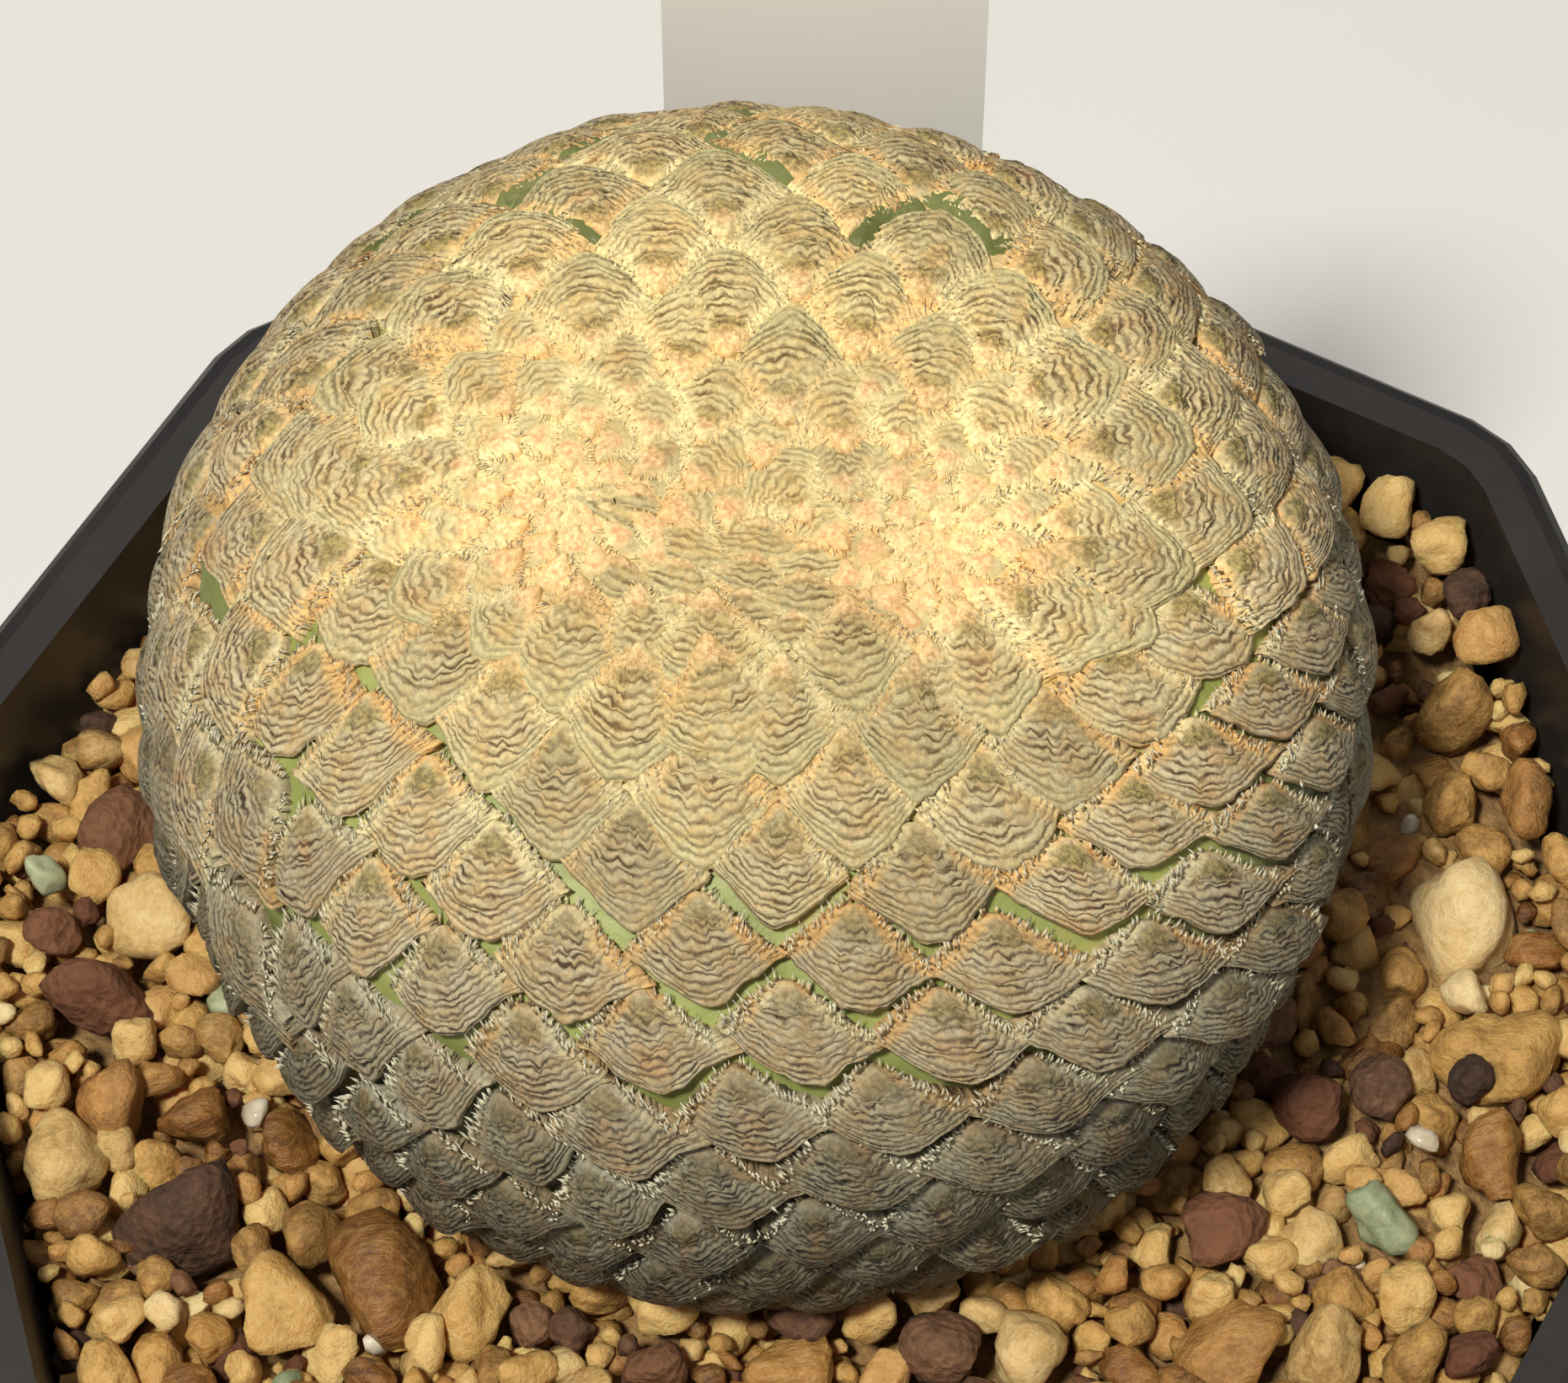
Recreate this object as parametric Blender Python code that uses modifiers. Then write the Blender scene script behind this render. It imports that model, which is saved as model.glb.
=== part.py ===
"""Potted euphorbia: a scaly globular plant in an eight-sided pot of gravel, with a blank label.

Metres, +Z up. The origin is the middle of the pot's underside. The plant has a front of its own,
turned by FRONT_TURN from -Y, and the lattice of its scales is laid out from that front.
"""
import math
import random

import bmesh
import bpy
import numpy as np
from mathutils import Matrix, Vector

MM = 0.001
CLEARANCE = 0.3 * MM
FRONT_TURN = math.radians(-15.9)

# Pot, measured across its flats and halved
POT_HEIGHT = 72.0 * MM
RIM_APOTHEM = 39.7 * MM
BASE_APOTHEM = 29.5 * MM
WALL = 1.5 * MM
FLOOR = 2.0 * MM
LIP_WIDTH = 3.0 * MM
LIP_HEIGHT = 4.5 * MM
LIP_ROUND = 1.3 * MM
CORNER_ROUND = 2.4 * MM
DRAIN_RADIUS = 3.2 * MM
DRAIN_RING = 17.0 * MM
DRAIN_COUNT = 4
DRAIN_SIDES = 16

# Gravel, higher on the left of the plant's front and lower on the right
GRAVEL_DROP = 5.6 * MM
GRAVEL_SLOPE = -0.035
STONE_PITCH = 4.35 * MM
STONE_SIZES = (2.2 * MM, 3.5 * MM)
STONE_JITTER = 0.18
STONE_STRETCH = ((0.85, 1.2), (0.8, 1.1), (0.65, 0.9))
STONE_DROP = 0.12
STONE_LIFT = 0.25
STONE_TILT = 0.5
STONE_EDGE = 1.2
STONE_NUDGE = 0.94
STONE_FREE = 0.72
STONE_SEED = 11

# Plant body, an oblate turned form that leans towards its front
PLANT_RADIUS = 24.9 * MM
CROWN_HEIGHT = 16.2 * MM
ROOT_HEIGHT = 18.0 * MM
NECK_RADIUS = 14.0 * MM
NECK_END = (12.0 * MM, 24.5 * MM)
PROFILE_POWER = 2.5
PLANT_LEAN = math.radians(11.5)
PLANT_OFFSET = (-2.0 * MM, 5.2 * MM)
PLANT_RISE = 9.0 * MM
CROWN_DIMPLE = 0.9 * MM
DIMPLE_RADIUS = 6.0 * MM
SEAT_GAP = 0.45 * MM
SEAT_START = 0.2
SEAT_RINGS = 16
SEAT_SIDES = 40
SEAT_POINT = 3.0 * MM
ROOT_POINT = 1.0 * MM

# Lattice of scales: a square grid, squeezed about two growing points and wrapped over the body
SCALE_PITCH = 4.57
GRID_TURN = -0.82
GRID_ORIGIN = complex(0.84, -16.76)
GROWTH_SPREAD = 7.2
GROWTH_TURN = -0.15
GROWTH_PULL = 1.35
GROWTH_SOFT = 0.8
SQUEEZE_ROUNDS = 80
SQUEEZE_STEP = 0.3
WRAP_MIX = 0.67
TWIST = (0.052, 0.05)
TWIST_MIDDLE = 14.6
TWIST_SPAN = 10.0
TWIST_LIMIT = 1.5
LATTICE_REACH = 49.6
LATTICE_STEPS = 17
GROOVE = 0.13
PLATE_THICK = 0.95
PLATE_THIN = 0.3
PLATE_KEEL = 0.35
PLATE_SMALLEST = 0.15

# Label
LABEL_WIDTH = 14.4 * MM
LABEL_THICK = 0.8 * MM
LABEL_ABOVE_RIM = 46.0 * MM
LABEL_BELOW_RIM = 30.0 * MM
LABEL_POINT = 11.0 * MM
LABEL_CORNER = 1.6 * MM
LABEL_FOOT = 1.0 * MM
LABEL_ARC_STEPS = 3
SLOT_ABOVE_RIM = 20.0 * MM
LABEL_PLACE = (1.0 * MM, 33.4 * MM)

# Colours, linear
POT_COLOUR = (0.022, 0.019, 0.018)
STONE_COLOUR = (0.5, 0.33, 0.16)
SCALE_COLOUR = (0.46, 0.33, 0.17)
LABEL_COLOUR = (0.74, 0.70, 0.62)

# Working sizes
POT_CORNERS = 8
CORNER_SEGMENTS = 2
LIP_SEGMENTS = 3
ARC_POINTS = 600
OVERCUT = 10.0 * MM
TINY = 0.01 * MM


def clear_scene():
    for thing in list(bpy.data.objects):
        bpy.data.objects.remove(thing, do_unlink=True)


def make_collection(name):
    group = bpy.data.collections.new(name)
    bpy.context.scene.collection.children.link(group)
    return group


def make_material(name, colour, roughness):
    material = bpy.data.materials.new(name)
    material.use_nodes = True
    shader = material.node_tree.nodes["Principled BSDF"]
    shader.inputs["Base Color"].default_value = (*colour, 1.0)
    shader.inputs["Roughness"].default_value = roughness
    shader.inputs["Metallic"].default_value = 0.0
    material.diffuse_color = (*colour, 1.0)
    return material


def object_from_bmesh(name, form, group, material=None):
    mesh = bpy.data.meshes.new(name)
    form.to_mesh(mesh)
    form.free()
    thing = bpy.data.objects.new(name, mesh)
    group.objects.link(thing)
    if material is not None:
        mesh.materials.append(material)
    return thing


def front_to_world(x, y):
    """Turn a place given in the plant's front-facing axes into the pot's axes."""
    cosine, sine = math.cos(FRONT_TURN), math.sin(FRONT_TURN)
    return cosine * x - sine * y, sine * x + cosine * y


def apply_modifiers(thing):
    """Replace the object's mesh by its evaluated one."""
    bpy.context.view_layer.update()
    depsgraph = bpy.context.evaluated_depsgraph_get()
    mesh = bpy.data.meshes.new_from_object(thing.evaluated_get(depsgraph))
    thing.modifiers.clear()
    thing.data = mesh


def boolean(thing, operation, cutter=None, collection=None, solver="EXACT"):
    """Add a Boolean modifier and apply it."""
    modifier = thing.modifiers.new(operation.title(), "BOOLEAN")
    modifier.operation = operation
    modifier.solver = solver
    if collection is not None:
        modifier.operand_type = "COLLECTION"
        modifier.collection = collection
    else:
        modifier.object = cutter
    apply_modifiers(thing)


def keep_largest_body(thing):
    """Fill hollows that fusing sealed, and drop loose scraps: only the largest closed surface stays."""
    form = bmesh.new()
    form.from_mesh(thing.data)
    unseen = set(form.faces)
    islands = []
    while unseen:
        island = {unseen.pop()}
        edge_of_island = list(island)
        while edge_of_island:
            face = edge_of_island.pop()
            for edge in face.edges:
                for other in edge.link_faces:
                    if other in unseen:
                        unseen.discard(other)
                        island.add(other)
                        edge_of_island.append(other)
        islands.append(island)
    islands.sort(key=len)
    spare = [face for island in islands[:-1] for face in island]
    bmesh.ops.delete(form, geom=spare, context="FACES")
    form.to_mesh(thing.data)
    form.free()


def discard(things):
    for thing in list(things):
        bpy.data.objects.remove(thing, do_unlink=True)


def octagon_prism(name, group, low, high, corner, material=None, rounding=0.0):
    """An eight-sided solid between two levels, each a (height, apothem) pair, with round corners."""
    (z_low, apothem_low), (z_high, apothem_high) = low, high
    to_corner = 1.0 / math.cos(math.pi / POT_CORNERS)
    form = bmesh.new()
    bmesh.ops.create_cone(
        form, cap_ends=True, segments=POT_CORNERS, radius1=apothem_low * to_corner,
        radius2=apothem_high * to_corner, depth=z_high - z_low,
        matrix=Matrix.Translation((0, 0, (z_low + z_high) / 2))
        @ Matrix.Rotation(math.pi / POT_CORNERS, 4, "Z"))
    uprights = [e for e in form.edges if abs(e.verts[0].co.z - e.verts[1].co.z) > TINY]
    bmesh.ops.bevel(form, geom=uprights, offset=corner, offset_type="OFFSET",
                    segments=CORNER_SEGMENTS, profile=0.5, affect="EDGES")
    if rounding > 0.0:
        rings = [e for e in form.edges if abs(e.verts[0].co.z - e.verts[1].co.z) < TINY]
        bmesh.ops.bevel(form, geom=rings, offset=rounding, offset_type="OFFSET",
                        segments=LIP_SEGMENTS, profile=0.5, affect="EDGES")
    return object_from_bmesh(name, form, group, material)


def wall_apothem(height):
    """Half the pot's outer width across its flats at a height."""
    return BASE_APOTHEM + (RIM_APOTHEM - LIP_WIDTH + WALL - BASE_APOTHEM) * height / POT_HEIGHT


def build_pot(parts, cutters):
    material = make_material("pot_plastic", POT_COLOUR, 0.45)
    top_wall = wall_apothem(POT_HEIGHT - LIP_ROUND)
    pot = octagon_prism("pot", parts, (0.0, BASE_APOTHEM), (POT_HEIGHT - LIP_ROUND, top_wall),
                        CORNER_ROUND, material)
    lip = octagon_prism("lip", cutters, (POT_HEIGHT - LIP_HEIGHT, RIM_APOTHEM),
                        (POT_HEIGHT, RIM_APOTHEM), CORNER_ROUND, material, LIP_ROUND)
    boolean(pot, "UNION", lip)
    top_inside = wall_apothem(POT_HEIGHT) - WALL
    slope = (top_inside - (BASE_APOTHEM - WALL)) / (POT_HEIGHT - FLOOR)
    inside = octagon_prism("inside", cutters, (FLOOR, BASE_APOTHEM - WALL),
                           (POT_HEIGHT + OVERCUT, top_inside + slope * OVERCUT),
                           CORNER_ROUND - WALL / 2)
    boolean(pot, "DIFFERENCE", inside)
    drains = []
    for index in range(DRAIN_COUNT):
        angle = math.pi / 4 + index * 2 * math.pi / DRAIN_COUNT
        place = Matrix.Translation((DRAIN_RING * math.cos(angle), DRAIN_RING * math.sin(angle), 0))
        form = bmesh.new()
        bmesh.ops.create_cone(form, cap_ends=True, segments=DRAIN_SIDES, radius1=DRAIN_RADIUS,
                              radius2=DRAIN_RADIUS, depth=4 * FLOOR, matrix=place)
        drains.append(object_from_bmesh("drain", form, cutters))
    for drain in drains:
        boolean(pot, "DIFFERENCE", drain)
    discard([lip, inside, *drains])
    return pot


def body_profile():
    """Radius and height along the plant's outline, from crown to root, with its arc length, in mm."""
    angle = np.linspace(0.0, math.pi, ARC_POINTS)
    sine, cosine = np.sin(angle), np.cos(angle)
    radius, crown, root = PLANT_RADIUS / MM, CROWN_HEIGHT / MM, ROOT_HEIGHT / MM
    reach = (np.abs(sine) ** PROFILE_POWER + np.abs(cosine) ** PROFILE_POWER) ** (-1 / PROFILE_POWER)
    r = radius * sine * reach
    z = np.where(cosine > 0, crown, root) * cosine * reach
    dimple = CROWN_DIMPLE / MM * np.exp(-(r / (DIMPLE_RADIUS / MM)) ** 2)
    z = z - np.where(cosine > 0, dimple, 0.0)
    bulb = (cosine > 0) | (r > NECK_RADIUS / MM)
    r, z = r[bulb], z[bulb]
    share = np.linspace(0.0, 1.0, ARC_POINTS // 6)[1:]
    r = np.concatenate([r, r[-1] + share * (NECK_END[0] / MM - r[-1])])
    z = np.concatenate([z, z[-1] + share * (-NECK_END[1] / MM - z[-1])])
    step = np.hypot(np.diff(r), np.diff(z))
    arc = np.concatenate([[0.0], np.cumsum(step)])
    return r, z, arc


def wrap_radius(r, arc):
    """Distance from the middle of the flat lattice that each place on the outline stands for."""
    ring_area = np.concatenate([[0.0], np.cumsum((r[1:] + r[:-1]) / 2 * np.diff(arc))])
    return WRAP_MIX * arc + (1 - WRAP_MIX) * np.sqrt(2 * ring_area)


def squeeze(flat):
    """Pull the flat lattice together about the two growing points, where new scales are small."""
    growth = GROWTH_SPREAD * np.exp(1j * GROWTH_TURN)
    place = flat.copy()
    for _ in range(SQUEEZE_ROUNDS):
        spread = place.copy()
        for centre in (growth, -growth):
            gap = place - centre
            spread += GROWTH_PULL * gap / np.sqrt(np.abs(gap) ** 2 + GROWTH_SOFT ** 2)
        place += SQUEEZE_STEP * (flat - spread)
    along = np.clip((np.abs(place) - TWIST_MIDDLE) / TWIST_SPAN, -TWIST_LIMIT, TWIST_LIMIT)
    return place * np.exp(1j * (TWIST[0] * along + TWIST[1] * along ** 2))


def crown_direction(place):
    """Unit direction on the flat lattice that leads away from the growing points."""
    growth = GROWTH_SPREAD * np.exp(1j * GROWTH_TURN)
    away = 0
    for centre in (growth, -growth):
        gap = place - centre
        away = away + gap / np.sqrt(np.abs(gap) ** 2 + GROWTH_SOFT ** 2)
    return away / (np.abs(away) + 1e-6)


def on_body(place, relief):
    """Points on the plant, in its upright frame in mm, for places on the lattice, raised by relief."""
    r, z, arc = body_profile()
    reach = wrap_radius(r, arc)
    slope_r, slope_z = np.gradient(r, arc), np.gradient(z, arc)
    radius = np.abs(place)
    angle = np.angle(place * 1j)
    out_r = np.interp(radius, reach, -slope_z)
    out_z = np.interp(radius, reach, slope_r)
    ring = np.interp(radius, reach, r) + relief * out_r
    height = np.interp(radius, reach, z) + relief * out_z
    return np.stack([ring * np.sin(angle), -ring * np.cos(angle), height], axis=-1)


def plant_matrix():
    """The plant's lean and place in the pot, for points in its upright frame in metres."""
    x, y = front_to_world(*PLANT_OFFSET)
    return (Matrix.Translation((x, y, POT_HEIGHT + PLANT_RISE))
            @ Matrix.Rotation(FRONT_TURN, 4, "Z") @ Matrix.Rotation(PLANT_LEAN, 4, "X"))


def lattice_nodes():
    """Flat lattice places of every scale's border, plate and centre nodes, and their relief."""
    steps = np.array([-0.5, -0.5 + GROOVE, 0.5 - GROOVE])
    cells = np.arange(-LATTICE_STEPS, LATTICE_STEPS + 1)
    line = np.concatenate([[cell + step for step in steps] for cell in cells])
    kind = np.tile([0, 1, 1], len(cells))
    column, row = np.meshgrid(line, line, indexing="ij")
    plate = kind[:, None] * kind[None, :]
    across = SCALE_PITCH * np.exp(1j * GRID_TURN)
    down = -1j * across
    flat = GRID_ORIGIN + column * across + row * down
    middle = GRID_ORIGIN + np.round(column) * across + np.round(row) * down
    return flat, middle, plate, len(cells)


def plate_relief(place, centre, size):
    """Height of a scale's face: thin at its inner edge, thick at the outer one."""
    outward = np.real((place - centre) * np.conj(crown_direction(centre))) / (size / 2 + 1e-9)
    share = np.clip(0.5 + 0.5 * outward, 0.0, 1.0)
    thickness = PLATE_THIN + (PLATE_THICK - PLATE_THIN) * share
    return thickness * np.clip(size / SCALE_PITCH, PLATE_SMALLEST, 1.0)


def build_plant(parts):
    material = make_material("plant_scales", SCALE_COLOUR, 0.8)
    flat, middle, plate, cells = lattice_nodes()
    place, centre = squeeze(flat), squeeze(middle)
    span = np.abs(squeeze(middle + SCALE_PITCH / 2) - squeeze(middle - SCALE_PITCH / 2))
    relief = plate * plate_relief(place, centre, span)
    points = on_body(place, relief)
    inside = np.abs(place) < LATTICE_REACH
    form = bmesh.new()
    nodes = {}

    def node(index):
        if index not in nodes:
            nodes[index] = form.verts.new(Vector(points[index]) * MM)
        return nodes[index]

    for i in range(cells - 1):
        for j in range(cells - 1):
            block = [(3 * i + a, 3 * j + b) for a in range(4) for b in range(4)]
            if not all(inside[index] for index in block):
                continue
            for a in range(3):
                for b in range(3):
                    ring = [(3 * i + a, 3 * j + b), (3 * i + a, 3 * j + b + 1),
                            (3 * i + a + 1, 3 * j + b + 1), (3 * i + a + 1, 3 * j + b)]
                    corners = [node(index) for index in ring]
                    if (a, b) == (1, 1):
                        keel = plate_relief(centre[ring[0]], centre[ring[0]], span[ring[0]])
                        keel += PLATE_KEEL * min(1.0, span[ring[0]] / SCALE_PITCH)
                        peak = form.verts.new(Vector(on_body(centre[ring[0]], keel)) * MM)
                        for k in range(4):
                            form.faces.new((corners[k], corners[(k + 1) % 4], peak))
                    else:
                        form.faces.new(corners)
    close_below(form)
    bmesh.ops.recalc_face_normals(form, faces=form.faces)
    bmesh.ops.triangulate(form, faces=[f for f in form.faces if len(f.verts) > 3])
    form.transform(plant_matrix())
    return object_from_bmesh("plant", form, parts, material)


def close_below(form):
    """Close the open edge under the plant with a cone of faces to one root point."""
    edges = [e for e in form.edges if e.is_boundary]
    lowest = min(v.co.z for e in edges for v in e.verts)
    root = form.verts.new((0.0, 0.0, lowest - ROOT_POINT))
    for edge in edges:
        form.faces.new((edge.verts[0], edge.verts[1], root))


def gravel_level(x, y):
    """Height of the gravel's surface at a place in the pot's axes."""
    cosine, sine = math.cos(FRONT_TURN), math.sin(FRONT_TURN)
    to_right = cosine * x + sine * y
    return POT_HEIGHT - GRAVEL_DROP + GRAVEL_SLOPE * to_right


def seat_cutter(cutters):
    """A turned solid a little larger than the plant's hidden part."""
    r, z, arc = body_profile()
    grow = PLATE_THICK + SEAT_GAP / MM
    keep = z < CROWN_HEIGHT / MM * SEAT_START
    picked = np.linspace(0, keep.sum() - 1, SEAT_RINGS).astype(int)
    slope_r, slope_z = np.gradient(r, arc), np.gradient(z, arc)
    out_r = (r - grow * slope_z)[keep][picked]
    out_z = (z + grow * slope_r)[keep][picked]
    out_r = np.concatenate([[0.0], out_r, [0.0]])
    out_z = np.concatenate([[out_z[0]], out_z, [out_z[-1] - SEAT_POINT / MM]])
    points = [(radius * MM, 0.0, height * MM) for radius, height in zip(out_r, out_z)]
    profile = bpy.data.meshes.new("seat")
    profile.from_pydata(points, [(index, index + 1) for index in range(len(points) - 1)], [])
    seat = bpy.data.objects.new("seat", profile)
    cutters.objects.link(seat)
    seat.matrix_world = plant_matrix()
    turned = seat.modifiers.new("Turned", "SCREW")
    turned.steps = turned.render_steps = SEAT_SIDES
    turned.use_merge_vertices = True
    turned.merge_threshold = TINY
    apply_modifiers(seat)
    return seat


def label_matrix():
    x, y = front_to_world(*LABEL_PLACE)
    return Matrix.Translation((x, y, POT_HEIGHT)) @ Matrix.Rotation(FRONT_TURN, 4, "Z")


def label_slot(cutters):
    """The slit that the label stands in, as a box."""
    form = bmesh.new()
    height = LABEL_BELOW_RIM + SLOT_ABOVE_RIM
    size = Matrix.Diagonal((LABEL_WIDTH + 2 * CLEARANCE, LABEL_THICK + 2 * CLEARANCE, height, 1.0))
    middle = Matrix.Translation((0, 0, height / 2 - LABEL_BELOW_RIM - CLEARANCE))
    bmesh.ops.create_cube(form, size=1.0, matrix=label_matrix() @ middle @ size)
    return object_from_bmesh("slot", form, cutters)


def stone_places():
    """Seeded places for the top stones on a jittered triangular grid over the pot."""
    draw = random.Random(STONE_SEED)
    half = RIM_APOTHEM - LIP_WIDTH
    rows = int(half / STONE_PITCH * 2.4)
    row_step = math.sqrt(3) / 2
    plant_x, plant_y = front_to_world(*PLANT_OFFSET)
    places = []
    for row in range(-rows, rows + 1):
        for column in range(-rows, rows + 1):
            x = (column + 0.5 * (row % 2) + draw.uniform(-STONE_JITTER, STONE_JITTER)) * STONE_PITCH
            y = (row * row_step + draw.uniform(-STONE_JITTER, STONE_JITTER)) * STONE_PITCH
            radius = draw.uniform(*STONE_SIZES)
            turn = [draw.uniform(0, math.tau) for _ in range(3)]
            stretch = [draw.uniform(*limits) for limits in STONE_STRETCH]
            lift = draw.uniform(-STONE_LIFT, STONE_LIFT)
            limit = half - STONE_EDGE * radius - 2 * CLEARANCE
            reach = max(abs(x), abs(y), (abs(x) + abs(y)) / math.sqrt(2))
            shrink = min(1.0, limit / reach)
            if shrink < STONE_NUDGE:
                continue
            x, y = x * shrink, y * shrink
            if math.hypot(x - plant_x, y - plant_y) < STONE_FREE * PLANT_RADIUS:
                continue
            places.append((x, y, radius, turn, stretch, lift))
    return places


def build_gravel(parts, cutters):
    material = make_material("gravel_stone", STONE_COLOUR, 0.85)
    inner_slope = (wall_apothem(POT_HEIGHT) - BASE_APOTHEM) / POT_HEIGHT
    low = FLOOR + CLEARANCE
    low_apothem = BASE_APOTHEM - WALL - CLEARANCE
    top = POT_HEIGHT - GRAVEL_DROP
    gravel = octagon_prism("gravel", parts, (low, low_apothem),
                           (top, low_apothem + (top - low) * inner_slope), CORNER_ROUND, material)
    for vertex in gravel.data.vertices:
        if vertex.co.z > top - TINY:
            vertex.co.z = gravel_level(vertex.co.x, vertex.co.y)
    stones = make_collection("stones")
    for x, y, radius, turn, stretch, lift in stone_places():
        form = bmesh.new()
        height = gravel_level(x, y) + radius * (lift - STONE_DROP)
        pose = Matrix.Translation((x, y, height)) @ Matrix.Rotation(turn[0], 4, "Z")
        tilt = Matrix.Rotation(STONE_TILT * math.sin(turn[1]), 4, "X")
        bmesh.ops.create_icosphere(
            form, subdivisions=1, radius=radius,
            matrix=pose @ tilt @ Matrix.Diagonal((*stretch, 1.0)) @ Matrix.Rotation(turn[2], 4, "Z"))
        object_from_bmesh("stone", form, stones)
    boolean(gravel, "UNION", collection=stones, solver="MANIFOLD")
    discard(stones.objects)
    bpy.data.collections.remove(stones)
    seat = seat_cutter(cutters)
    slot = label_slot(cutters)
    boolean(gravel, "DIFFERENCE", seat, solver="MANIFOLD")
    boolean(gravel, "DIFFERENCE", slot, solver="MANIFOLD")
    keep_largest_body(gravel)
    discard([seat, slot])
    return gravel


def build_label(parts):
    material = make_material("label_plastic", LABEL_COLOUR, 0.5)
    curve = bpy.data.curves.new("label_outline", "CURVE")
    curve.dimensions = "2D"
    curve.fill_mode = "BOTH"
    curve.extrude = LABEL_THICK / 2
    half, top, bottom = LABEL_WIDTH / 2, LABEL_ABOVE_RIM, -LABEL_BELOW_RIM
    outline = [(-half, bottom + LABEL_POINT), (-LABEL_FOOT, bottom), (LABEL_FOOT, bottom),
               (half, bottom + LABEL_POINT)]
    turns = [math.pi / 2 * step / LABEL_ARC_STEPS for step in range(LABEL_ARC_STEPS + 1)]
    for side, corner in ((1, turns), (-1, turns[::-1])):
        for turn in corner:
            x = side * (half - LABEL_CORNER + LABEL_CORNER * math.cos(turn))
            outline.append((x, top - LABEL_CORNER + LABEL_CORNER * math.sin(turn)))
    spline = curve.splines.new("POLY")
    spline.points.add(len(outline) - 1)
    for point, (x, y) in zip(spline.points, outline):
        point.co = (x, y, 0.0, 1.0)
    spline.use_cyclic_u = True
    curve.materials.append(material)
    label = bpy.data.objects.new("label", curve)
    parts.objects.link(label)
    label.matrix_world = label_matrix() @ Matrix.Rotation(math.pi / 2, 4, "X")
    return label


def main():
    clear_scene()
    parts = make_collection("potted_euphorbia")
    cutters = make_collection("cutters")
    build_pot(parts, cutters)
    build_gravel(parts, cutters)
    build_plant(parts)
    build_label(parts)
    bpy.data.collections.remove(cutters)


main()
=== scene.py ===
"""Potted euphorbia: ridged scales, skin, loose gravel, pot and label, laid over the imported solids."""
import math

import bmesh
import bpy
import numpy as np
from mathutils import Matrix, Vector


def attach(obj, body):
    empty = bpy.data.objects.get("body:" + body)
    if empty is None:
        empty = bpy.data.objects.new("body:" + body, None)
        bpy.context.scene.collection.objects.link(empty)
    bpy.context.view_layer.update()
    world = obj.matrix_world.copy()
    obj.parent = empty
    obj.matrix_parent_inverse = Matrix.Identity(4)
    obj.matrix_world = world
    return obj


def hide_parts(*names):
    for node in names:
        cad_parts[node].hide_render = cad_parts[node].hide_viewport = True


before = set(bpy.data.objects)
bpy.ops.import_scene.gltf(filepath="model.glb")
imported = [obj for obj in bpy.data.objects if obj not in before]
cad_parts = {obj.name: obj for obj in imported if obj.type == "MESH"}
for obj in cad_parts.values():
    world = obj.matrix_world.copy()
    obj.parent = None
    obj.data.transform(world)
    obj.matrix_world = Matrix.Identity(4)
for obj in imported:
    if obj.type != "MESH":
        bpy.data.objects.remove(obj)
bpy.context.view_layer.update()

MM = 0.001
FRONT_TURN = math.radians(-15.9)

# Pot, in mm, as in the solids
POT_HEIGHT = 72.0
RIM_APOTHEM = 39.7
BASE_APOTHEM = 29.5
WALL = 1.5
FLOOR = 2.0
LIP_WIDTH = 3.0
GRAVEL_DROP = 5.6
GRAVEL_SLOPE = -0.035

# Loose gravel heaped against the wall at the back on the right, in mm from the pot's middle
HEAP_RISE = 4.0
HEAP_TURN = math.radians(35.0)
HEAP_SPAN = (28.0, 37.0)

# Plant body, in mm, as in the solids
PLANT_RADIUS = 24.9
CROWN_HEIGHT = 16.2
ROOT_HEIGHT = 18.0
NECK_RADIUS = 14.0
NECK_END = (12.0, 24.5)
PROFILE_POWER = 2.5
PLANT_LEAN = math.radians(11.5)
PLANT_OFFSET = (-2.0, 5.2)
PLANT_RISE = 9.0
CROWN_DIMPLE = 0.9
DIMPLE_RADIUS = 6.0
ARC_POINTS = 600

# Lattice of scales, in mm, as in the solids
SCALE_PITCH = 4.57
GRID_TURN = -0.82
GRID_ORIGIN = complex(0.84, -16.76)
ACROSS = SCALE_PITCH * np.exp(1j * GRID_TURN)
DOWN = -1j * ACROSS
GROWTH_SPREAD = 7.2
GROWTH_TURN = -0.15
GROWTH_PULL = 1.35
GROWTH_SOFT = 0.8
GROWTH_AXIS = np.exp(1j * GROWTH_TURN)
GROWING_POINTS = (GROWTH_SPREAD * GROWTH_AXIS, -GROWTH_SPREAD * GROWTH_AXIS)
SQUEEZE_ROUNDS = 80
SQUEEZE_STEP = 0.3
WRAP_MIX = 0.67
TWIST = (0.052, 0.05)
TWIST_MIDDLE = 14.6
TWIST_SPAN = 10.0
TWIST_LIMIT = 1.5
LATTICE_REACH = 47.0
LATTICE_STEPS = 17

# Columns of points, rows for each ridge and hairs on each side of a scale: near ones, low ones, small ones
# and those on the back. Low ones lie past LOW_REACH on the lattice, small ones have few ridges
DETAIL = ((26, 3, 30), (18, 2, 28), (13, 2, 10), (20, 2, 24))
LOW_REACH = 30.0
SMALL_RIDGES = 5
BACK_FROM = 5.0
CROWN_REACH = 11.0
SCALE_PIECES = ("scales_crown", "scales_front", "scales_right", "scales_back", "scales_left")

# Ridges of a scale: pitch in mm near and low, least and most ridges, height and waviness
RIDGE_PITCH = (0.385, 0.44)
RIDGES = (3, 14)
RIDGE_SHARE = 0.92
RIDGE_HEIGHT = 0.15
RIDGE_JITTER = 0.3
RIDGE_ROUND = 1.0
WAVE_BROAD = 0.38
WAVE_FINE = 0.4
WAVE_FINEST = 0.65
FINEST_HEIGHT = 0.035
EDGE_WAVE = 0.03
CALM_SPAN = (0.0, 0.25)
CALM_END = 0.45
END_LEAD = 0.72
ARCH_POWER = 2.2

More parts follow.
